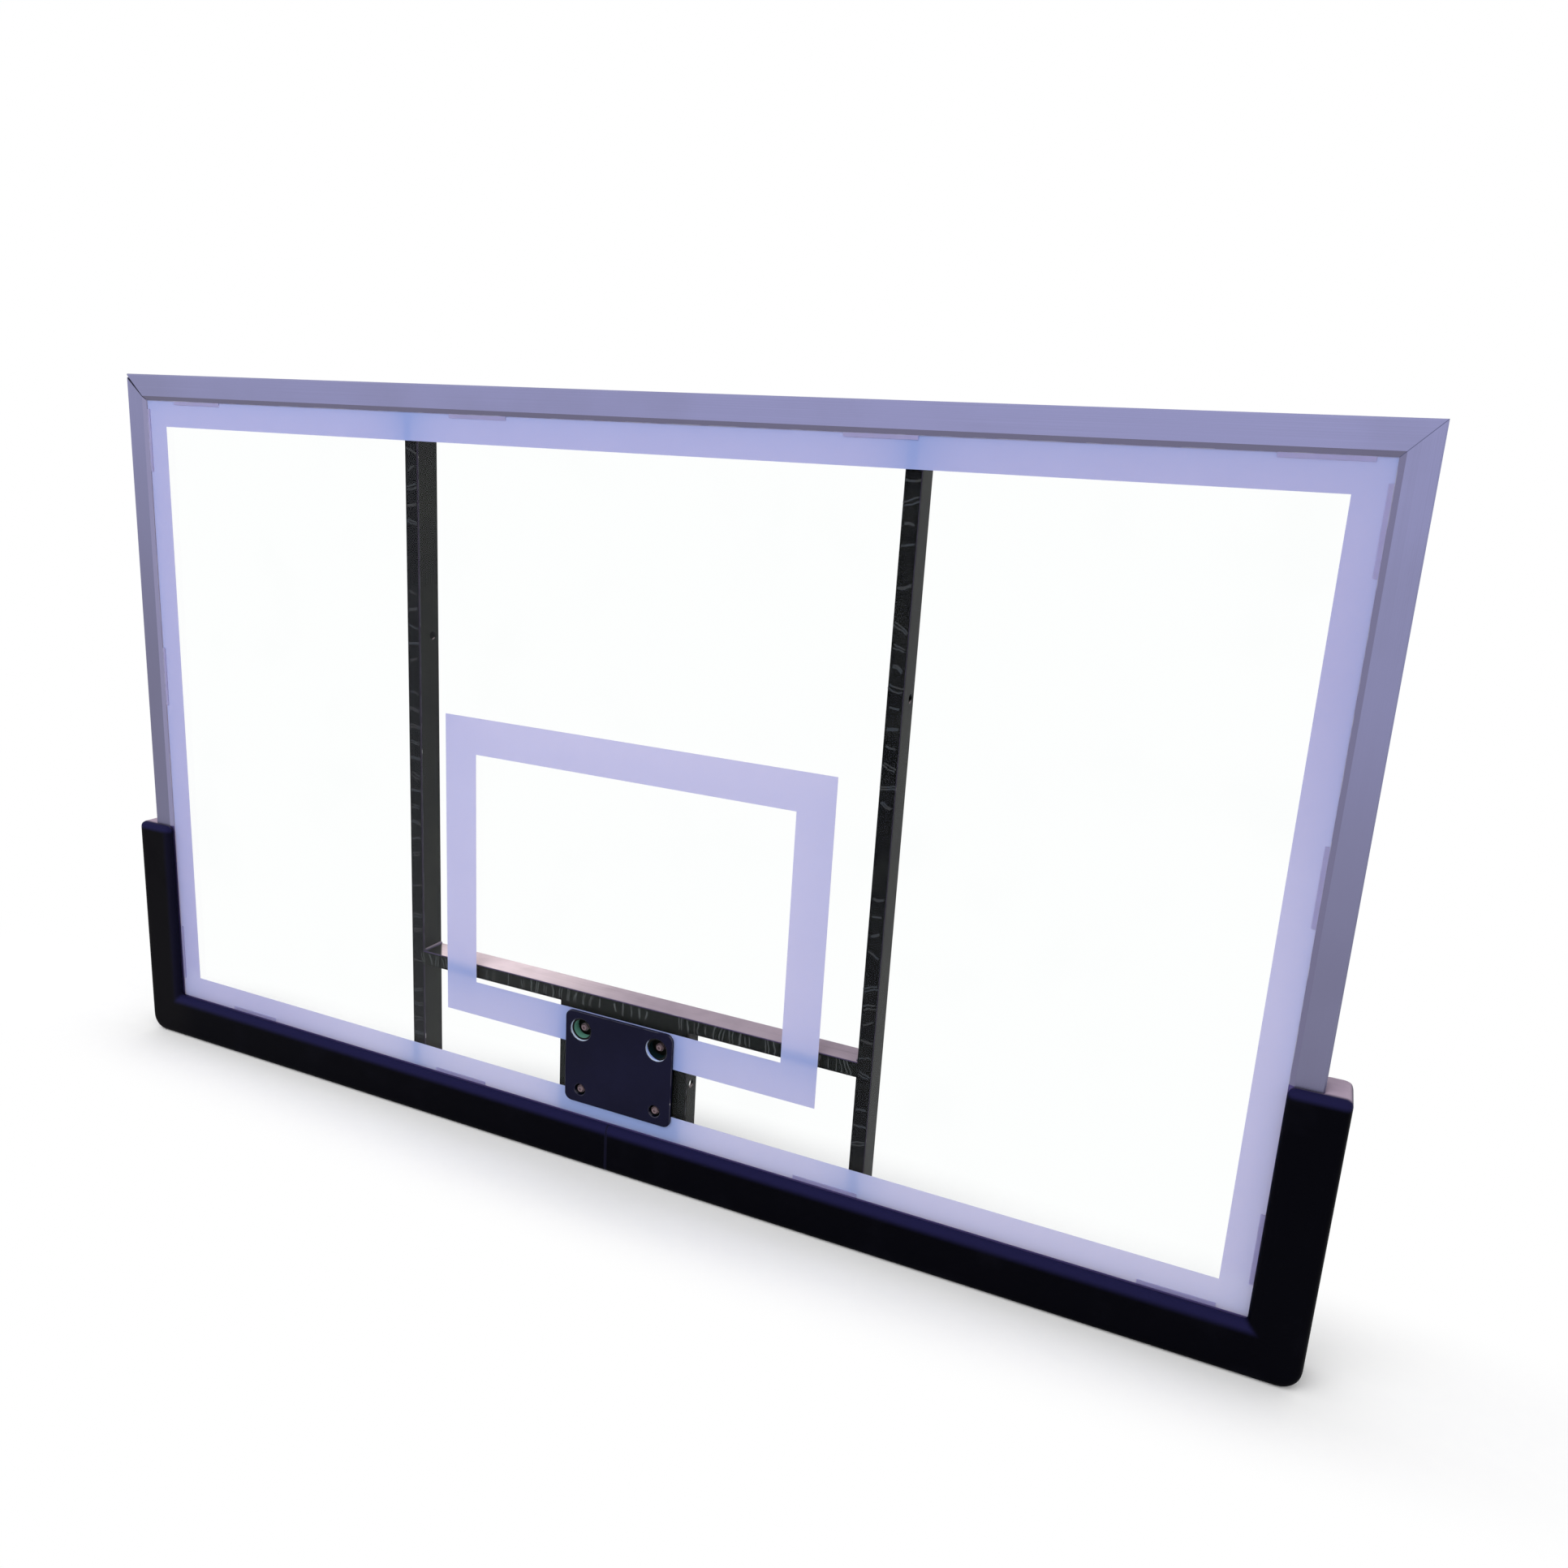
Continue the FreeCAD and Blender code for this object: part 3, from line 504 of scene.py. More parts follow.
clear_glass, tree, shader = new_material("clear_float_glass")
place = object_place(tree)
film = ramp(tree, noise(tree, place, 7.0, 5.0), 0.5, 0.8)
finish_with(tree, shader, {
    "Base Color": mixed(tree, film, GLASS_CLEAR, GLASS_FILMED),
    "Roughness": 0.0,
    "IOR": 1.45,
    "Specular Tint": (0.05, 0.054, 0.08, 1.0),
    "Transmission Weight": 1.0,
})
path = add(tree, "ShaderNodeLightPath")
reflected = maths(tree, "SUBTRACT", 1.0, path.outputs["Is Transmission Ray"])
bounced = times(tree, path.outputs["Is Diffuse Ray"], reflected)
lit_through = maths(tree, "MAXIMUM", path.outputs["Is Shadow Ray"], bounced)
open_way = add(tree, "ShaderNodeBsdfTransparent")
see_or_pass = add(tree, "ShaderNodeMixShader", {
    0: lit_through, 1: shader.outputs[0], 2: open_way.outputs[0]})
tree.links.new(see_or_pass.outputs[0], tree.nodes["Material Output"].inputs["Surface"])

# Painted light and shade by place: the edges and hole walls are a pale lit green only towards the upper
# left, and a deep green painted shade elsewhere.
EDGE_PALE = colour(120, 178, 158)
EDGE_FROSTED = colour(84, 140, 124)
EDGE_SHADED_DEEP = colour(14, 34, 38)
EDGE_LIT_ACROSS = (0.03, -0.03)
EDGE_LIT_UP = (-0.01, 0.02)

ground_edge, tree, shader = new_material("ground_glass_edge")
place = object_place(tree)
frost = noise(tree, place, 700.0, 3.0)
spot = split(tree, place)
left = ramp(tree, spot[0], *EDGE_LIT_ACROSS)
upper = ramp(tree, spot[2], *EDGE_LIT_UP)
pale = mixed(tree, frost, EDGE_PALE, EDGE_FROSTED)
finish_with(tree, shader, {
    "Base Color": mixed(tree, times(tree, left, upper), EDGE_SHADED_DEEP, pale),
    "Roughness": between(tree, frost, 0.25, 0.45),
    "IOR": 1.52,
    "Normal": bump(tree, frost, 0.03 * MM),
})


def merged_copy(name, node):
    """New object with a CAD node's mesh, its loose triangles joined."""
    mesh = bpy.data.meshes.new(name)
    shape = bmesh.new()
    shape.from_mesh(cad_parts[node].data)
    bmesh.ops.remove_doubles(shape, verts=shape.verts, dist=0.001 * MM)
    bmesh.ops.dissolve_limit(shape, angle_limit=math.radians(0.1), verts=shape.verts, edges=shape.edges)
    bmesh.ops.triangulate(shape, faces=shape.faces)
    shape.to_mesh(mesh)
    shape.free()
    piece = bpy.data.objects.new(name, mesh)
    scene.collection.objects.link(piece)
    return piece


glass = merged_copy("toughened_glass", "glass_panel")
glass.data.materials.clear()
glass.data.materials.append(clear_glass)
glass.data.materials.append(ground_edge)
low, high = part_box("glass_panel")
middle = (low.y + high.y) / 2
thinner = 1 - 2 * GLASS_CLEARANCE / (high.y - low.y)
for vertex in glass.data.vertices:
    vertex.co.y = middle + (vertex.co.y - middle) * thinner
for face in glass.data.polygons:
    face.material_index = int(abs(face.normal.y) < EDGE_TURN)
stand_for(glass, "clear_glass", "glass_panel")


# Printed lines
# The border and the target are white ceramic ink, screened on the glass front and fired on.
# The film is thin, so light from behind glows through it and the steel behind shows as a soft shade.
# The print leaves a clear ring round the upper bolt holes, which looks black before the steel.

# The ink is white: the blue of its face and the warm colour of the glow through it are painted light,
# blue light from the front and warm light from behind.
INK = colour(161, 185, 252)
INK_THIN = colour(155, 179, 247)
INK_FOOT_PAINTED_LIGHT = colour(168, 192, 254)
INK_FOOT_LIGHT_SPAN = (-0.02, -0.045)
INK_GLOW_WARM_LIGHT = colour(255, 218, 183)
INK_GLOW_FAR_SHADED = colour(214, 167, 132)
GLOW_SHARE = 0.42
GLOW_LIGHT_MIDDLE = (0.25, 0.0, -0.05)
GLOW_LIGHT_REACH = (0.65, 0.95)
BARE_RING = colour(10, 12, 12)
BARE_RING_RADIUS = 20.5 * MM
BARE_RINGS = ((-0.062, 0.0, 0.0528), (0.066, 0.0, 0.0568))

ink, tree, shader = new_material("fired_white_ink")
place = object_place(tree)
mottle = noise(tree, place, 14.0, 5.0)
pinholes = noise(tree, place, 1300.0, 2.0)
flat_place = vector_maths(tree, "MULTIPLY", place, (1.0, 0.0, 1.0))
bare = 0.0
for ring in BARE_RINGS:
    distance = vector_maths(tree, "DISTANCE", flat_place, ring)
    bare = maths(tree, "MAXIMUM", bare, maths(tree, "LESS_THAN", distance, BARE_RING_RADIUS))
# Painted shade on the glow: it dims from the warm colour to a darker one away from a middle point.
distance = vector_maths(tree, "DISTANCE", flat_place, GLOW_LIGHT_MIDDLE)
glow_with_painted_shade = mixed(tree, ramp(tree, distance, *GLOW_LIGHT_REACH), INK_GLOW_WARM_LIGHT, INK_GLOW_FAR_SHADED)
# Painted light: the ink is paler towards its foot.
foot = ramp(tree, split(tree, place)[2], *INK_FOOT_LIGHT_SPAN)
ink_shade = mixed(tree, foot, mixed(tree, mottle, INK, INK_THIN), INK_FOOT_PAINTED_LIGHT)
finish_with(tree, shader, {
    "Base Color": mixed(tree, bare, ink_shade, BARE_RING),
    "Roughness": between(tree, pinholes, 0.5, 0.62),
    "Specular IOR Level": 0.3,
    "Normal": bump(tree, pinholes, 0.01 * MM),
})
glow = add(tree, "ShaderNodeBsdfTranslucent", {"Color": mixed(tree, bare, glow_with_painted_shade, BARE_RING)})
film = add(tree, "ShaderNodeMixShader", {0: GLOW_SHARE, 1: shader.outputs[0], 2: glow.outputs[0]})
inside = add(tree, "ShaderNodeNewGeometry").outputs["Backfacing"]
open_way = add(tree, "ShaderNodeBsdfTransparent")
one_film = add(tree, "ShaderNodeMixShader", {0: inside, 1: film.outputs[0], 2: open_way.outputs[0]})
tree.links.new(one_film.outputs[0], tree.nodes["Material Output"].inputs["Surface"])
dress(ink, "border_line", "target_line")


# Glazing packers
# Short strips of clear soft plastic, pushed in between the ink and the lip so that the rails grip
# the glass. Each stands out a few millimetres.

packer_plastic, tree, shader = new_material("clear_packer_plastic")
place = object_place(tree)
haze = noise(tree, place, 60.0, 4.0)
finish_with(tree, shader, {
    "Base Color": mixed(tree, haze, colour(202, 198, 238), colour(190, 186, 230)),
    "Roughness": between(tree, haze, 0.3, 0.5),
    "IOR": 1.35,
    "Transmission Weight": 0.6,
})
dress(packer_plastic, "glazing_packers")


# Steel frame
# Two uprights and a cross bar of rectangular tube and a folded channel for the rim, welded together
# and powder coated black. Dust with a painted top light lies on what faces up, the corners are
# worn and carry a painted highlight, and the paint is chipped along its edges.

# Settled dust and painted top light: on faces that look up, thinned by noise.
dust_and_top_light, given, result = shader_group(
    "dust_and_top_light", {"Place": "Vector", "Cover": "Float"}, {"Mask": "Float"})
facing = own_normal(dust_and_top_light)
upward = ramp(dust_and_top_light, split(dust_and_top_light, facing)[2], 0.35, 0.95)
patchy = ramp(dust_and_top_light, noise(dust_and_top_light, given["Place"], 45.0, 6.0), 0.2, 0.6)
thin = times(dust_and_top_light, between(dust_and_top_light, patchy, 0.88, 1.0), given["Cover"])
dust_and_top_light.links.new(times(dust_and_top_light, upward, thin), result.inputs["Mask"])

# Worn corners with a painted highlight: where a box-shaped piece turns from one face to the next, by its
# own normal.
worn_and_lit_corners, given, result = shader_group("worn_and_lit_corners", {"Place": "Vector"}, {"Mask": "Float"})
facing = own_normal(worn_and_lit_corners)
sides = split(worn_and_lit_corners, vector_maths(worn_and_lit_corners, "ABSOLUTE", facing))
flatness = maths(worn_and_lit_corners, "MAXIMUM", maths(worn_and_lit_corners, "MAXIMUM", sides[0], sides[1]), sides[2])
patchy = ramp(worn_and_lit_corners, noise(worn_and_lit_corners, given["Place"], 70.0, 4.0), 0.3, 0.6)
wear = times(worn_and_lit_corners, ramp(worn_and_lit_corners, flatness, 0.97, 0.85), patchy)
worn_and_lit_corners.links.new(wear, result.inputs["Mask"])

STEEL_DUST_AND_LIGHT = colour(188, 172, 176)
STEEL_WORN_AND_LIT = colour(112, 112, 124)
STEEL_CHIP = colour(200, 196, 200)


def black_paint(name, paint, dull, roughness, dust_and_light_cover, wear_and_highlight_share, dust_along=None):
    """Powder coat with orange peel, dust and painted top light on top, worn corners with a painted
    highlight, and a few chips in them.
    """
    material, tree, shader = new_material(name)
    place = object_place(tree)
    peel = noise(tree, place, 650.0, 2.0)
    film = ramp(tree, noise(tree, place, 11.0, 5.0), 0.35, 0.7)
    dust_and_light = made(tree, "ShaderNodeGroup", {"Place": place, "Cover": dust_and_light_cover},
                node_tree=dust_and_top_light)
    worn = made(tree, "ShaderNodeGroup", {"Place": place}, node_tree=worn_and_lit_corners)
    chipped = times(tree, worn, ramp(tree, noise(tree, place, 55.0, 3.0), 0.66, 0.7))
    dust_and_light_shade = STEEL_DUST_AND_LIGHT
    if dust_along:
        dust_and_light, dust_and_light_shade = dust_along(tree, place, dust_and_light)
    shade = mixed(tree, film, paint, dull)
    # Wear and a painted highlight on the corners.
    shade = mixed(tree, between(tree, worn, 0.0, wear_and_highlight_share), shade, STEEL_WORN_AND_LIT)
    shade = mixed(tree, dust_and_light, shade, dust_and_light_shade)
    finish_with(tree, shader, {
        "Base Color": mixed(tree, between(tree, chipped, 0.0, wear_and_highlight_share * 2), shade, STEEL_CHIP),
        "Roughness": between(tree, dust_and_light, roughness, 0.85),
        "Specular IOR Level": 0.07,
        "Normal": bump(tree, peel, 0.04 * MM),
    })
    return material


# Painted light and shadow on the bar's top: the dust colour is paler towards the left end, and a painted
# shadow of the upright bares the paint beside the weld.
BAR_DUST_AND_LIGHT = (colour(236, 216, 222), colour(160, 145, 158))
BAR_LIGHT_SPAN = (-0.26, 0.06)
BAR_SHADOW_LINE = (1.0, 0.81, 0.0)
BAR_SHADOW_END = (-0.3355, -0.332)


def bar_dust_light_and_shadow(tree, place, dust_and_light):
    """Dust and painted top light on the bar: streaky, paler towards one end, and none beside the weld
    there, which leaves the dark paint as a painted shadow of the upright.
    """
    along = split(tree, place)[0]
    streaks = made(tree, "ShaderNodeGroup", {"Place": place, "Line Scale": (4.0, 350.0, 350.0)},
                   node_tree=drawn_lines)
    from_upright_shadow = vector_maths(tree, "DOT_PRODUCT", place, BAR_SHADOW_LINE)
    dust_and_light = times(tree, dust_and_light, ramp(tree, from_upright_shadow, *BAR_SHADOW_END))
    dust_and_light = times(tree, dust_and_light, between(tree, ramp(tree, streaks, 0.25, 0.5), 0.82, 1.0))
    return dust_and_light, mixed(tree, ramp(tree, along, *BAR_LIGHT_SPAN), *BAR_DUST_AND_LIGHT)


TUBE_COLOURS = (colour(12, 14, 12), colour(24, 26, 20))
tube_paint = black_paint("black_tube_paint", *TUBE_COLOURS, 0.45, 0.9, 0.5)
bar_paint = black_paint("bar_paint_dust_light_and_shadow", *TUBE_COLOURS, 0.45, 1.0, 0.5, bar_dust_light_and_shadow)
weld_paint = black_paint("black_weld_paint", colour(62, 57, 80), colour(104, 95, 122), 0.4, 0.4, 0.0)
dress(tube_paint, "left_upright", "right_upright", "rim_column")
dress(bar_paint, "cross_bar")


# Weld beads
# Arc welds where the bar meets the uprights, the channel meets the bar and the feet meet the tubes.
# Each bead is a row of overlapping ripples, painted over with the frame.

def by_chance(tree, low, high, seed):
    """A number between low and high for each element."""
    limits = {2: low, 3: high, "Seed": seed}
    return add(tree, "FunctionNodeRandomValue", limits, data_type="FLOAT").outputs[1]


weld_ripples, given = geometry_tree("weld_ripples", "Leg", "Pitch")
RIPPLE_SHARES = (0.82, 0.92)
seam = made(weld_ripples, "GeometryNodeMeshToCurve", {"Mesh": given["Geometry"]})
steps = made(weld_ripples, "GeometryNodeResampleCurve", {
    "Curve": seam, "Length": given["Pitch"]}, mode="LENGTH")
drop = add(weld_ripples, "GeometryNodeMeshUVSphere", {
    "Segments": 14, "Rings": 9, "Radius": given["Leg"]}).outputs["Mesh"]
uneven = by_chance(weld_ripples, *RIPPLE_SHARES, 4)
row = made(weld_ripples, "GeometryNodeInstanceOnPoints", {
    "Points": steps, "Instance": drop, "Scale": uneven})
end_tree(weld_ripples, row, given["Material"])

RIPPLE_PITCH = 2.2 * MM
BEAD_LIFT = 0.22
BEAD_LEG_SHARE = 0.8
REMESH_SIZE = 0.5 * MM


def bead_line(low, high, points):
    """Ends of the line along a quarter-round bead, a little out of the corner that it fills."""
    spans = high - low
    along = max(range(3), key=lambda axis: spans[axis])
    first, second = [axis for axis in range(3) if axis != along]
    leg = spans[first]

    def emptiness(corner):
        return min(math.hypot(p[first] - corner[0], p[second] - corner[1]) for p in points)

    corners = [(a, b) for a in (low[first], high[first]) for b in (low[second], high[second])]
    bare = max(corners, key=emptiness)
    ends = []
    for stop in (low[along] + leg / 2, high[along] - leg / 2):
        end = Vector()
        end[along] = stop
        for axis, open_side in ((first, bare[0]), (second, bare[1])):
            root = low[axis] + high[axis] - open_side
            end[axis] = root + (open_side - root) * BEAD_LIFT
        ends.append(end)
    return leg, ends


beads = [bead_line(*solid) for solid in solids_of("weld_beads")]
bead_leg = min(leg for leg, ends in beads)
points = [end for leg, ends in beads for end in ends]
edges = [(number, number + 1) for number in range(0, len(points), 2)]
sizes = {"Leg": bead_leg * BEAD_LEG_SHARE, "Pitch": RIPPLE_PITCH, "Material": weld_paint}
welds = grow("weld_ripples", weld_ripples, sizes, points, edges)
fuse = welds.modifiers.new("fused", "REMESH")
fuse.voxel_size = REMESH_SIZE
settle(welds)
coat(welds, weld_paint)
welds.data.shade_smooth()
stand_for(welds, "black_steel", "weld_beads")


# Foam tape and glue
# Thin black foam tape cushions the glass on the steel. Hardened glue shows through the glass as
# pale wavy strings across the tape, mostly in pairs.

def foam(name, dry, damp, side):
    material, tree, shader = new_material(name)
    place = object_place(tree)
    cells = add(tree, "ShaderNodeTexVoronoi", {"Vector": place, "Scale": 900.0}).outputs["Distance"]
    patches = ramp(tree, noise(tree, place, 25.0, 4.0), 0.4, 0.7)
    facing = own_normal(tree)
    # Sides that turn from the front take their own colour, which carries a painted highlight.
    cut_side = ramp(tree, split(tree, facing)[1], -0.9, -0.5)
    finish_with(tree, shader, {
        "Base Color": mixed(tree, cut_side, mixed(tree, patches, damp, dry), side),
        "Roughness": between(tree, cells, 0.6, 0.9),
        "Specular IOR Level": 0.04,
        "Normal": bump(tree, cells, 0.1 * MM),
    })
    return material


FOAM_BLACK = (colour(9, 11, 14), colour(4, 5, 8))
# The right tape is a paler black than the left.
FOAM_PALER = (colour(22, 23, 22), colour(13, 14, 15))
FOAM_GREY = (colour(22, 25, 22), colour(14, 17, 15))
# The cut sides are lighter and purplish on the uprights' and the bar's tapes as a painted highlight; the
# column's stay near the tape's own black.
dress(foam("left_foam", *FOAM_BLACK, colour(48, 42, 60)), "left_tape")
dress(foam("right_foam", *FOAM_PALER, colour(48, 42, 60)), "right_tape")
dress(foam("bar_foam", *FOAM_GREY, colour(66, 56, 88)), "bar_tape")
dress(foam("column_foam", *FOAM_GREY, colour(24, 26, 24)), "column_tape")


def glue(name, thin, thick):
    material, tree, shader = new_material(name)
    cloud = ramp(tree, noise(tree, object_place(tree), 90.0, 3.0), 0.35, 0.65)
    finish_with(tree, shader, {
        "Base Color": mixed(tree, cloud, thin, thick),
        "Roughness": between(tree, cloud, 0.4, 0.7),
    })
    return material


glue_tree, given = geometry_tree(
    "glue_strings", "Spacing", "Reach", "Twin Gap", "Width", "Sway", "Depth", "Turn")
STRING_STEPS = 14
FLAT_SHARE = 0.08
STRING_LENGTHS = (0.6, 1.0)
STRING_LOST = 0.25
STRING_SPREADS = (-0.4, 1.6)
STRING_WAVES = 60.0

line = made(glue_tree, "GeometryNodeMeshToCurve", {"Mesh": given["Geometry"]})
spots = made(glue_tree, "GeometryNodeResampleCurve", {"Curve": line, "Length": given["Spacing"]},
             mode="LENGTH")
along = made(glue_tree, "GeometryNodeInputTangent")
spots = made(glue_tree, "GeometryNodeStoreNamedAttribute", {
    "Geometry": spots, "Name": "along", "Value": along}, data_type="FLOAT_VECTOR")
on_glass = add(glue_tree, "FunctionNodeAlignRotationToVector", {"Vector": (0.0, -1.0, 0.0)}, axis="Z")
across_tape = made(glue_tree, "FunctionNodeAlignRotationToVector", {
    "Rotation": on_glass.outputs[0], "Vector": along}, axis="Y", pivot_axis="Z")
pair = []
for side in (-0.5, 0.5):
    string = made(glue_tree, "GeometryNodeCurvePrimitiveLine", {
        "Start": (-1.0, 0.0, 0.0), "End": (1.0, 0.0, 0.0)})
    string = made(glue_tree, "GeometryNodeResampleCurve", {
        "Curve": string, "Count": STRING_STEPS})
    shift = times(glue_tree, given["Twin Gap"], side)
    gap = made(glue_tree, "ShaderNodeCombineXYZ", {"Y": shift})
    pair.append(moved(glue_tree, string, Translation=gap))
tilt = times(glue_tree, by_chance(glue_tree, -1.0, 1.0, 5), given["Turn"])
tilt = made(glue_tree, "FunctionNodeAxisAngleToRotation", {
    "Axis": (0.0, 0.0, 1.0), "Angle": tilt})
tilted = made(glue_tree, "FunctionNodeRotateRotation", {
    "Rotation": across_tape, "Rotate By": tilt}, rotation_space="LOCAL")
length = times(glue_tree, by_chance(glue_tree, *STRING_LENGTHS, 2), given["Reach"])
spread = by_chance(glue_tree, *STRING_SPREADS, 11)
stretch = made(glue_tree, "ShaderNodeCombineXYZ", {"X": length, "Y": spread, "Z": 1.0})
twins = joined(glue_tree, *pair)
laid = made(glue_tree, "GeometryNodeInstanceOnPoints", {
    "Points": spots, "Instance": twins, "Rotation": tilted, "Scale": stretch})
lost = add(glue_tree, "FunctionNodeRandomValue", {
    "Probability": STRING_LOST, "Seed": 7}, data_type="BOOLEAN")
laid = made(glue_tree, "GeometryNodeDeleteGeometry", {
    "Geometry": laid, "Selection": lost.outputs[3]}, domain="INSTANCE")
loose = made(glue_tree, "GeometryNodeRealizeInstances", {"Geometry": laid})
here = made(glue_tree, "GeometryNodeInputPosition")
drift = noise(glue_tree, here, STRING_WAVES)
drift = times(glue_tree, maths(glue_tree, "SUBTRACT", drift, 0.5), given["Sway"])
along = made(glue_tree, "GeometryNodeInputNamedAttribute", {"Name": "along"},
             data_type="FLOAT_VECTOR")
drift = made(glue_tree, "ShaderNodeVectorMath", {0: along, "Scale": drift},
             operation="SCALE")
wavy = made(glue_tree, "GeometryNodeSetPosition", {"Geometry": loose, "Offset": drift})
section = made(glue_tree, "GeometryNodeCurvePrimitiveCircle", {
    "Resolution": 6, "Radius": given["Width"]})
tubes = made(glue_tree, "GeometryNodeCurveToMesh", {
    "Curve": wavy, "Profile Curve": section, "Fill Caps": True})
x, y, z = split(glue_tree, made(glue_tree, "GeometryNodeInputPosition"))
behind = maths(glue_tree, "SUBTRACT", y, given["Depth"])
thin = maths(glue_tree, "MULTIPLY_ADD", behind, FLAT_SHARE, given["Depth"])
pressed = made(glue_tree, "ShaderNodeCombineXYZ", {"X": x, "Y": thin, "Z": z})
ribbons = made(glue_tree, "GeometryNodeSetPosition", {
    "Geometry": tubes, "Position": pressed})
end_tree(glue_tree, ribbons, given["Material"])

STRING_TWIN_GAP = 3.5 * MM
STRING_SWAY = 12 * MM


def lay_strings(name, material, spacing, width, turn, *tapes):
    """Strings along the middle line of each tape, on the side that faces the glass."""
    points = []
    for tape in tapes:
        low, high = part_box(tape)
        end = low.lerp(high, 0.5)
        end.y = low.y - GLASS_CLEARANCE / 2
        other = end.copy()
        spans = high - low
        long_axis = 0 if spans.x > spans.z else 2
        end[long_axis] = low[long_axis]
        other[long_axis] = high[long_axis]
        points += [end, other]
    edges = [(number, number + 1) for number in range(0, len(points), 2)]
    sizes = {
        "Spacing": spacing,
        "Reach": min(spans.x, spans.z) / 2,
        "Twin Gap": STRING_TWIN_GAP,
        "Width": width,
        "Sway": STRING_SWAY,
        "Depth": low.y - GLASS_CLEARANCE / 2,
        "Turn": turn,
        "Material": material,
    }
    strings = grow(name, glue_tree, sizes, points, edges)
    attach(strings, "root")


pale_glue = glue("pale_glue", colour(22, 26, 26), colour(62, 68, 70))
faint_glue = glue("faint_glue", colour(10, 13, 17), colour(30, 37, 46))
lay_strings("bar_glue_strings", pale_glue, 13 * MM, 0.75 * MM, 0.25, "bar_tape")
lay_strings("upright_glue_strings", faint_glue, 24 * MM, 1.2 * MM, 0.5, "left_tape", "right_tape")


# Feet
# Bent steel feet, one at each end of an upright, welded to the tube and painted with the frame.
# Two zinc plated screws fix each foot to the rear face of a rail.

dress(tube_paint, "upright_feet")
pan_head_screws("foot_screws")


# Rim plate
# Flat steel with rounded corners, powder coated a satin blue-black. It spreads the rim's load on the
# glass and has a hole for each bolt.

PALE_HOLE_WALL = colour(206, 220, 246)
HOLE_WALL_WITHIN = 0.08
HOLE_WALL_ABOVE = 0.02


def pale_upper_hole_walls(tree, place, dust_and_light):
    """Pale blue-white on the walls of the upper holes, in place of dust."""
    facing = own_normal(tree)
    turn = maths(tree, "ABSOLUTE", split(tree, facing)[1])
    spot = split(tree, place)
    inside = maths(tree, "LESS_THAN", maths(tree, "ABSOLUTE", spot[0]), HOLE_WALL_WITHIN)
    above = maths(tree, "GREATER_THAN", spot[2], HOLE_WALL_ABOVE)
    below_rim = maths(tree, "LESS_THAN", spot[2], HOLE_WALL_WITHIN - HOLE_WALL_ABOVE / 2)
    wall = times(tree, maths(tree, "LESS_THAN", turn, 0.5), inside)
    wall = times(tree, wall, times(tree, above, below_rim))
    return wall, PALE_HOLE_WALL


# The corner share gives the plate's edges a painted highlight along with their wear.
plate_paint = black_paint(
    "satin_plate_paint", colour(9, 9, 33), colour(13, 13, 39), 0.38, 0.0, 0.35, pale_upper_hole_walls)
dress(plate_paint, "rim_plate")


# Rim bolts and weld nuts
# Zinc plated hexagon bolts put in from behind through nuts welded to the channel. Their chamfered
# ends, each with a turning centre, show in the plate's holes.

CHAMFER_SHARES = (1.2, 0.48)
HEXAGON_SMOOTH = 20


def common(tree, *bodies):
    """The space that all the bodies share."""
    node = add(tree, "GeometryNodeMeshBoolean", operation="INTERSECT", solver="EXACT")
    for body in bodies:
        tree.links.new(body, node.inputs[1])
    return node.outputs["Mesh"]


def hexagon(tree, across, height):
    """Hexagon prism standing on z 0, with its upper corners turned off."""
    corner = times(tree, across, 1 / math.sqrt(3))
    block = lifted(tree, cylinder(tree, corner, height, 6), times(tree, height, 0.5))
    cone = add(tree, "GeometryNodeMeshCone", {
        "Vertices": 48,
        "Radius Bottom": times(tree, across, CHAMFER_SHARES[0]),
        "Radius Top": times(tree, across, CHAMFER_SHARES[1]),
        "Depth": height,
    }).outputs["Mesh"]
    return common(tree, block, cone)


bolts, given = geometry_tree(
    "hexagon_bolts", "Across Flats", "Head Height", "Diameter", "Length", "Pitch")
THREAD_SHARE = 0.42
POINT_SHARE = 0.12
POINT_TAPER_SHARE = 0.8
DIMPLE_SHARE = 0.3
outer = times(bolts, given["Diameter"], 0.5)
crest = times(bolts, given["Pitch"], THREAD_SHARE)
core = maths(bolts, "SUBTRACT", outer, crest)
bevel = times(bolts, given["Diameter"], POINT_SHARE)
foot = times(bolts, given["Length"], -1.0)
straight = maths(bolts, "SUBTRACT", given["Length"], bevel)
shank = cylinder(bolts, core, straight, 32)
shank = lifted(bolts, shank, times(bolts, straight, -0.5))
tip = add(bolts, "GeometryNodeMeshCone", {
    "Vertices": 32,
    "Radius Bottom": maths(bolts, "SUBTRACT", core, times(bolts, bevel, POINT_TAPER_SHARE)),
    "Radius Top": core,
    "Depth": bevel,
}).outputs["Mesh"]
dimple = add(bolts, "GeometryNodeMeshUVSphere", {
    "Segments": 16, "Rings": 8, "Radius": times(bolts, outer, DIMPLE_SHARE)}).outputs["Mesh"]
tip = lifted(bolts, carved(bolts, tip, dimple), foot)
turns = maths(bolts, "DIVIDE", straight, given["Pitch"])
helix = made(bolts, "GeometryNodeCurveSpiral", {
    "Resolution": 20,
    "Rotations": turns,
    "Start Radius": core,
    "End Radius": core,
    "Height": straight,
})
ridge = made(bolts, "GeometryNodeCurvePrimitiveCircle", {"Resolution": 6, "Radius": crest})
thread = made(bolts, "GeometryNodeCurveToMesh", {
    "Curve": helix, "Profile Curve": ridge, "Fill Caps": True})
thread = lifted(bolts, thread, times(bolts, straight, -1.0))
head = hexagon(bolts, given["Across Flats"], given["Head Height"])
whole = joined(bolts, shank, tip, thread, head)
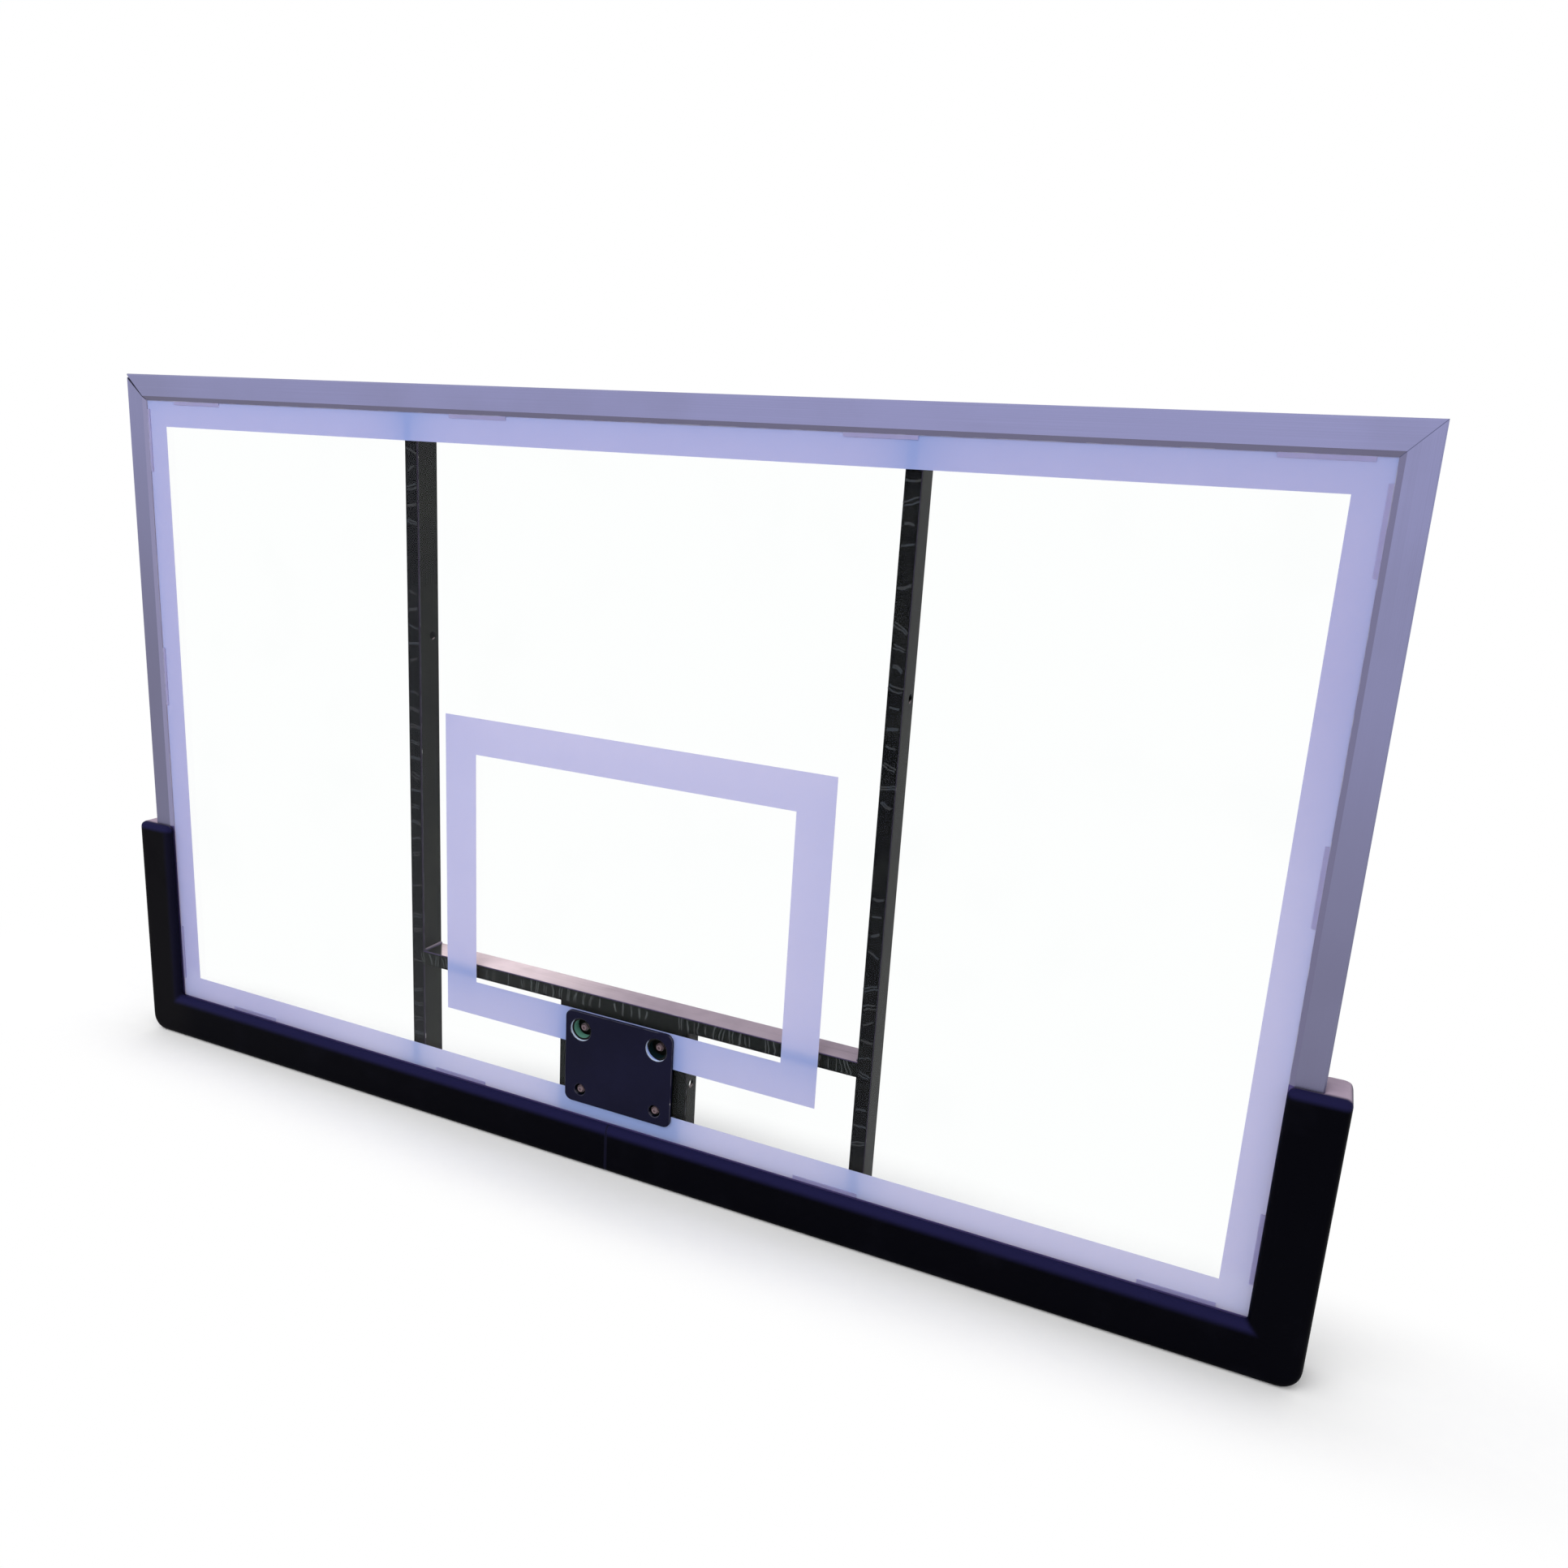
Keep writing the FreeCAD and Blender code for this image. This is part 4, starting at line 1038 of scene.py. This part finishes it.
end_tree(bolts, placed(bolts, given["Geometry"], whole), given["Material"])

BOLT_HEAD_HEIGHT = 7.5 * MM
BOLT_DIAMETER = 12 * MM
BOLT_PITCH = 1.75 * MM
bolt_zinc = zinc_plate("bolt_zinc", colour(132, 113, 119), colour(103, 88, 93))
solids = solids_of("rim_bolts")
low, high, points = solids[0]
sizes = {
    "Across Flats": min(high.x - low.x, high.z - low.z),
    "Head Height": BOLT_HEAD_HEIGHT,
    "Diameter": BOLT_DIAMETER,
    "Length": high.y - low.y - BOLT_HEAD_HEIGHT,
    "Pitch": BOLT_PITCH,
    "Material": bolt_zinc,
}
seats = seats_under(solids, BOLT_HEAD_HEIGHT)
rim_bolts = grow("threaded_rim_bolts", bolts, sizes, seats, smooth=HEXAGON_SMOOTH)
stand_for(rim_bolts, "zinc_steel", "rim_bolts")

DRILL_SHARE = 3.0
nuts, given = geometry_tree("weld_nuts", "Across Flats", "Height", "Bore")
body = hexagon(nuts, given["Across Flats"], given["Height"])
drill = cylinder(nuts, times(nuts, given["Bore"], 0.5), times(nuts, given["Height"], DRILL_SHARE), 32)
end_tree(nuts, placed(nuts, given["Geometry"], carved(nuts, body, drill)), given["Material"])

solids = solids_of("rim_weld_nuts")
low, high, points = solids[0]
sizes = {
    "Across Flats": min(high.x - low.x, high.z - low.z),
    "Height": high.y - low.y,
    "Bore": BOLT_DIAMETER,
    "Material": tube_paint,
}
seats = seats_under(solids, high.y - low.y)
weld_nuts = grow("hexagon_weld_nuts", nuts, sizes, seats, smooth=HEXAGON_SMOOTH)
stand_for(weld_nuts, "black_steel", "rim_weld_nuts")


# Pads
# Two L-shaped mouldings of black integral-skin foam that wrap the lower corners of the frame and
# meet in a butt seam near the middle. The skin is satin with a fine grain, with dust and a painted
# top light on top and a painted navy sheen along its inner edges.

PAD_BLACK = colour(4, 4, 9)
PAD_SCUFFED = colour(9, 9, 16)
PAD_GREYED = colour(10, 9, 13)
PAD_GREYED_SPAN = (-0.82, -0.87)
# Painted sheen: a navy colour and how far it reaches from the inner edges and the top.
PAD_PAINTED_SHEEN = colour(28, 27, 61)
RAIL_FACE = 37.5 * MM
PAD_CORNER = 6 * MM
PAD_SHEEN_REACH = (17 * MM, 6 * MM)
PAD_SHEEN_SIDES = (0.22, 0.0)
PAD_SHEEN_TOP = (14 * MM, 6 * MM)
PAD_SEAM_REACH = (3 * MM, 1 * MM)
PAD_SEAM_SHADE = colour(28, 27, 47)
PAD_DUST_AND_LIGHT = colour(174, 156, 174)
PAD_LIT_TOP_HEIGHT = (0.19, 0.205)
PAD_RAIL_SHADOW_DEPTH = (-0.038, -0.03)

low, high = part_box("frame_bottom")
pad_inner = (high.x - RAIL_FACE, low.z + RAIL_FACE)
pad_seam = (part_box("left_pad")[1].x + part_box("right_pad")[0].x) / 2

pad_skin, tree, shader = new_material("moulded_pad_skin")
place = object_place(tree)
grain = noise(tree, place, 1500.0, 3.0)
scuffs = ramp(tree, noise(tree, place, 16.0, 6.0), 0.5, 0.75)
spot = split(tree, place)
beside = maths(tree, "SUBTRACT", maths(tree, "ABSOLUTE", spot[0]), pad_inner[0])
below = maths(tree, "SUBTRACT", pad_inner[1], spot[2])
from_inner = maths(tree, "MAXIMUM", beside, below)
bottom_run = ramp(tree, maths(tree, "SUBTRACT", below, beside), -PAD_CORNER, PAD_CORNER)
side_share = between(tree, maths(tree, "GREATER_THAN", spot[0], 0.0), *PAD_SHEEN_SIDES)
# Painted sheen: a navy band along the inner edge of the bottom run, fainter up the left pad, none up the
# right, and along the tops.
painted_sheen = times(tree, ramp(tree, from_inner, *PAD_SHEEN_REACH),
             between(tree, bottom_run, side_share, 1.0))
painted_sheen = maths(tree, "MAXIMUM", painted_sheen, ramp(tree, maths(tree, "SUBTRACT", pad_top, spot[2]), *PAD_SHEEN_TOP))
from_seam = maths(tree, "ABSOLUTE", maths(tree, "SUBTRACT", spot[0], pad_seam))
seam = between(tree, ramp(tree, from_seam, *PAD_SEAM_REACH), 0.0, 0.6)
# Dust with a painted top light, only on the top ends, and left out in front of the rail as its painted
# shadow.
dust_and_light = made(tree, "ShaderNodeGroup", {"Place": place, "Cover": 0.95}, node_tree=dust_and_top_light)
dust_and_light = times(tree, dust_and_light, ramp(tree, spot[2], *PAD_LIT_TOP_HEIGHT))
dust_and_light = times(tree, dust_and_light, ramp(tree, spot[1], *PAD_RAIL_SHADOW_DEPTH))
skin = mixed(tree, scuffs, PAD_BLACK, PAD_SCUFFED)
skin = mixed(tree, ramp(tree, spot[0], *PAD_GREYED_SPAN), skin, PAD_GREYED)
skin = mixed(tree, painted_sheen, skin, PAD_PAINTED_SHEEN)
skin = mixed(tree, seam, skin, PAD_SEAM_SHADE)
finish_with(tree, shader, {
    "Base Color": mixed(tree, dust_and_light, skin, PAD_DUST_AND_LIGHT),
    "Roughness": between(tree, scuffs, 0.42, 0.58),
    "Specular IOR Level": 0.016,
    "Normal": bump(tree, grain, 0.05 * MM),
})

PAD_VOXEL = 2.5 * MM
PAD_EASING = 4
PAD_SMOOTH = 40
END_SLACK = 0.1 * MM
SPARE_END = 12 * MM


def cut_end(piece, place, outward):
    """Saw a piece off square at a place along x and close the cut."""
    shape = bmesh.new()
    shape.from_mesh(piece.data)
    everything = [*shape.verts, *shape.edges, *shape.faces]
    cut = bmesh.ops.bisect_plane(shape, geom=everything, plane_co=(place, 0.0, 0.0),
                                 plane_no=(outward, 0.0, 0.0), clear_outer=True)
    rim = [item for item in cut["geom_cut"] if isinstance(item, bmesh.types.BMEdge)]
    filled = bmesh.ops.holes_fill(shape, edges=rim, sides=0)
    bmesh.ops.triangulate(shape, faces=filled["faces"])
    shape.to_mesh(piece.data)
    shape.free()


for side, outward in (("left", 1.0), ("right", -1.0)):
    pad = merged_copy(f"{side}_moulded_pad", f"{side}_pad")
    low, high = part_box(f"{side}_pad")
    seam_end = high.x if outward > 0 else low.x
    for vertex in pad.data.vertices:
        if abs(vertex.co.x - seam_end) < END_SLACK:
            vertex.co.x += outward * SPARE_END
    skin_mesh = pad.modifiers.new("skin", "REMESH")
    skin_mesh.voxel_size = PAD_VOXEL
    eased = pad.modifiers.new("eased", "SMOOTH")
    eased.factor = 0.5
    eased.iterations = PAD_EASING
    settle(pad)
    cut_end(pad, seam_end, outward)
    coat(pad, pad_skin)
    pad.data.shade_smooth()
    pad.data.set_sharp_from_angle(angle=math.radians(PAD_SMOOTH))
    stand_for(pad, "pad_foam", f"{side}_pad")


# Pad screws and washers
# Zinc plated pan-head screws hold the pads' rear lip to the rails. A wide flat washer under each
# head spreads its grip on the soft foam.

washers, given = geometry_tree("flat_washers", "Diameter", "Thickness", "Bore")
disc = cylinder(washers, times(washers, given["Diameter"], 0.5), given["Thickness"], 40)
drill = cylinder(washers, times(washers, given["Bore"], 0.5),
                 times(washers, given["Thickness"], DRILL_SHARE), 24)
end_tree(washers, placed(washers, given["Geometry"], carved(washers, disc, drill)), given["Material"])

WASHER_BORE = 5.5 * MM
WASHER_EASING = 0.3 * MM
solids = solids_of("pad_washers")
low, high, points = solids[0]
sizes = {
    "Diameter": high.x - low.x,
    "Thickness": high.y - low.y,
    "Bore": WASHER_BORE,
    "Material": screw_zinc,
}
middles = [(low + high) / 2 for low, high, points in solids]
pad_washers = grow("eased_pad_washers", washers, sizes, middles, bevel=WASHER_EASING)
stand_for(pad_washers, "zinc_steel", "pad_washers")
pan_head_screws("pad_screws")


# Floor
# A plain pale sheet under the pads. It stays lit and shaded near the board and fades to even white
# further out, where it is seen straight, in metal or through glass.

FLOOR_SIZE = 40.0
FLOOR_SHAPE = (0.7, 6.0, 0.0)
FLOOR_FADE = (0.66, 1.4)
FLOOR_FIBRES = ((0.93, 0.93, 0.94, 1.0), (0.96, 0.96, 0.96, 1.0))
WHITE = (1.0, 1.0, 1.0, 1.0)


def seen_or_mirrored(tree):
    """Mask of what the camera sees, straight, in a mirror or through glass."""
    path = add(tree, "ShaderNodeLightPath").outputs
    mirrored = maths(tree, "MAXIMUM", path["Is Camera Ray"], path["Is Glossy Ray"])
    return maths(tree, "MAXIMUM", mirrored, path["Is Transmission Ray"])


floor_paper, tree, shader = new_material("floor_paper")
place = object_place(tree)
fibre = noise(tree, place, 60.0, 4.0)
finish_with(tree, shader, {
    "Base Color": mixed(tree, fibre, *FLOOR_FIBRES),
    "Roughness": 0.9,
    "Specular IOR Level": 0.1,
})
oval = vector_maths(tree, "MULTIPLY", place, FLOOR_SHAPE)
far = ramp(tree, vector_maths(tree, "LENGTH", oval), *FLOOR_FADE)
seen = seen_or_mirrored(tree)
white = add(tree, "ShaderNodeEmission", {"Color": WHITE, "Strength": 1.0})
faded = add(tree, "ShaderNodeMixShader", {
    0: times(tree, far, seen),
    1: shader.outputs[0],
    2: white.outputs[0],
})
tree.links.new(faded.outputs[0], tree.nodes["Material Output"].inputs["Surface"])
floor_mesh = bpy.data.meshes.new("floor")
half = FLOOR_SIZE / 2
level = cad_box[0].z
corners = [(x, y, level) for x, y in ((-half, -half), (half, -half), (half, half), (-half, half))]
floor_mesh.from_pydata(corners, [], [(0, 1, 2, 3)])
floor_mesh.materials.append(floor_paper)
floor = bpy.data.objects.new("floor", floor_mesh)
scene.collection.objects.link(floor)


# Light
# One wide soft lamp in front of the board and above it, in an even pale room, at a level where a
# colour looks as it is written. The room gives less light from low in front, and looks white.

ROOM_SHADE = 0.9
ROOM_FRONT = (0.25, -0.35)
ROOM_HEIGHT = (-0.1, 0.9)
ROOM_FRONT_SHADES = (0.5, 1.0)
LAMP_PLACE = (-0.8, -2.6, 2.6)
LAMP_AIM = (0.0, 0.0, 0.4)
LAMP_WIDTH = 2.6
LAMP_POWER = 50.0

world = bpy.data.worlds.new("pale_room")
scene.world = world
world.use_nodes = True
tree = world.node_tree
seen = seen_or_mirrored(tree)
direction = split(tree, add(tree, "ShaderNodeTexCoord").outputs["Generated"])
front = ramp(tree, direction[1], *ROOM_FRONT)
height = ramp(tree, direction[2], *ROOM_HEIGHT)
front_shade = between(tree, height, *ROOM_FRONT_SHADES)
room = made(tree, "ShaderNodeMix", {0: front, 2: ROOM_SHADE, 3: front_shade}, data_type="FLOAT")
strength = made(tree, "ShaderNodeMix", {0: seen, 2: room, 3: 1.0}, data_type="FLOAT")
tree.links.new(strength, tree.nodes["Background"].inputs["Strength"])
tree.nodes["Background"].inputs["Color"].default_value = WHITE

lamp = bpy.data.lights.new("front_lamp", "AREA")
lamp.shape = "SQUARE"
lamp.size = LAMP_WIDTH
lamp.energy = LAMP_POWER
holder = bpy.data.objects.new("front_lamp", lamp)
holder.location = LAMP_PLACE
holder.rotation_euler = (Vector(LAMP_AIM) - Vector(LAMP_PLACE)).to_track_quat("-Z", "Y").to_euler()
holder.visible_glossy = False
scene.collection.objects.link(holder)


# Camera
# Stands in front of the board and to its right, just below the height of its top rail, and looks
# down across it. TILT rolls it about its line of sight, and LENS is in millimetres.

STAND = Vector((0.8236, -1.4043, 0.8401))
LOOK_AT = Vector((0.2294, -0.03, 0.4623))
TILT = 0.0614
LENS = 28.07
SENSOR = 36.0

forward = (LOOK_AT - STAND).normalized()
level_right = forward.cross(Vector((0.0, 0.0, 1.0))).normalized()
level_up = level_right.cross(forward)
right = level_right * math.cos(TILT) + level_up * math.sin(TILT)
up = level_up * math.cos(TILT) - level_right * math.sin(TILT)
camera_data = bpy.data.cameras.new("camera")
camera_data.lens = LENS
camera_data.sensor_width = SENSOR
camera = bpy.data.objects.new("camera", camera_data)
turn = Matrix((right, up, -forward)).transposed()
camera.matrix_world = Matrix.Translation(STAND) @ turn.to_4x4()
scene.collection.objects.link(camera)
scene.camera = camera
scene.view_settings.view_transform = "Standard"
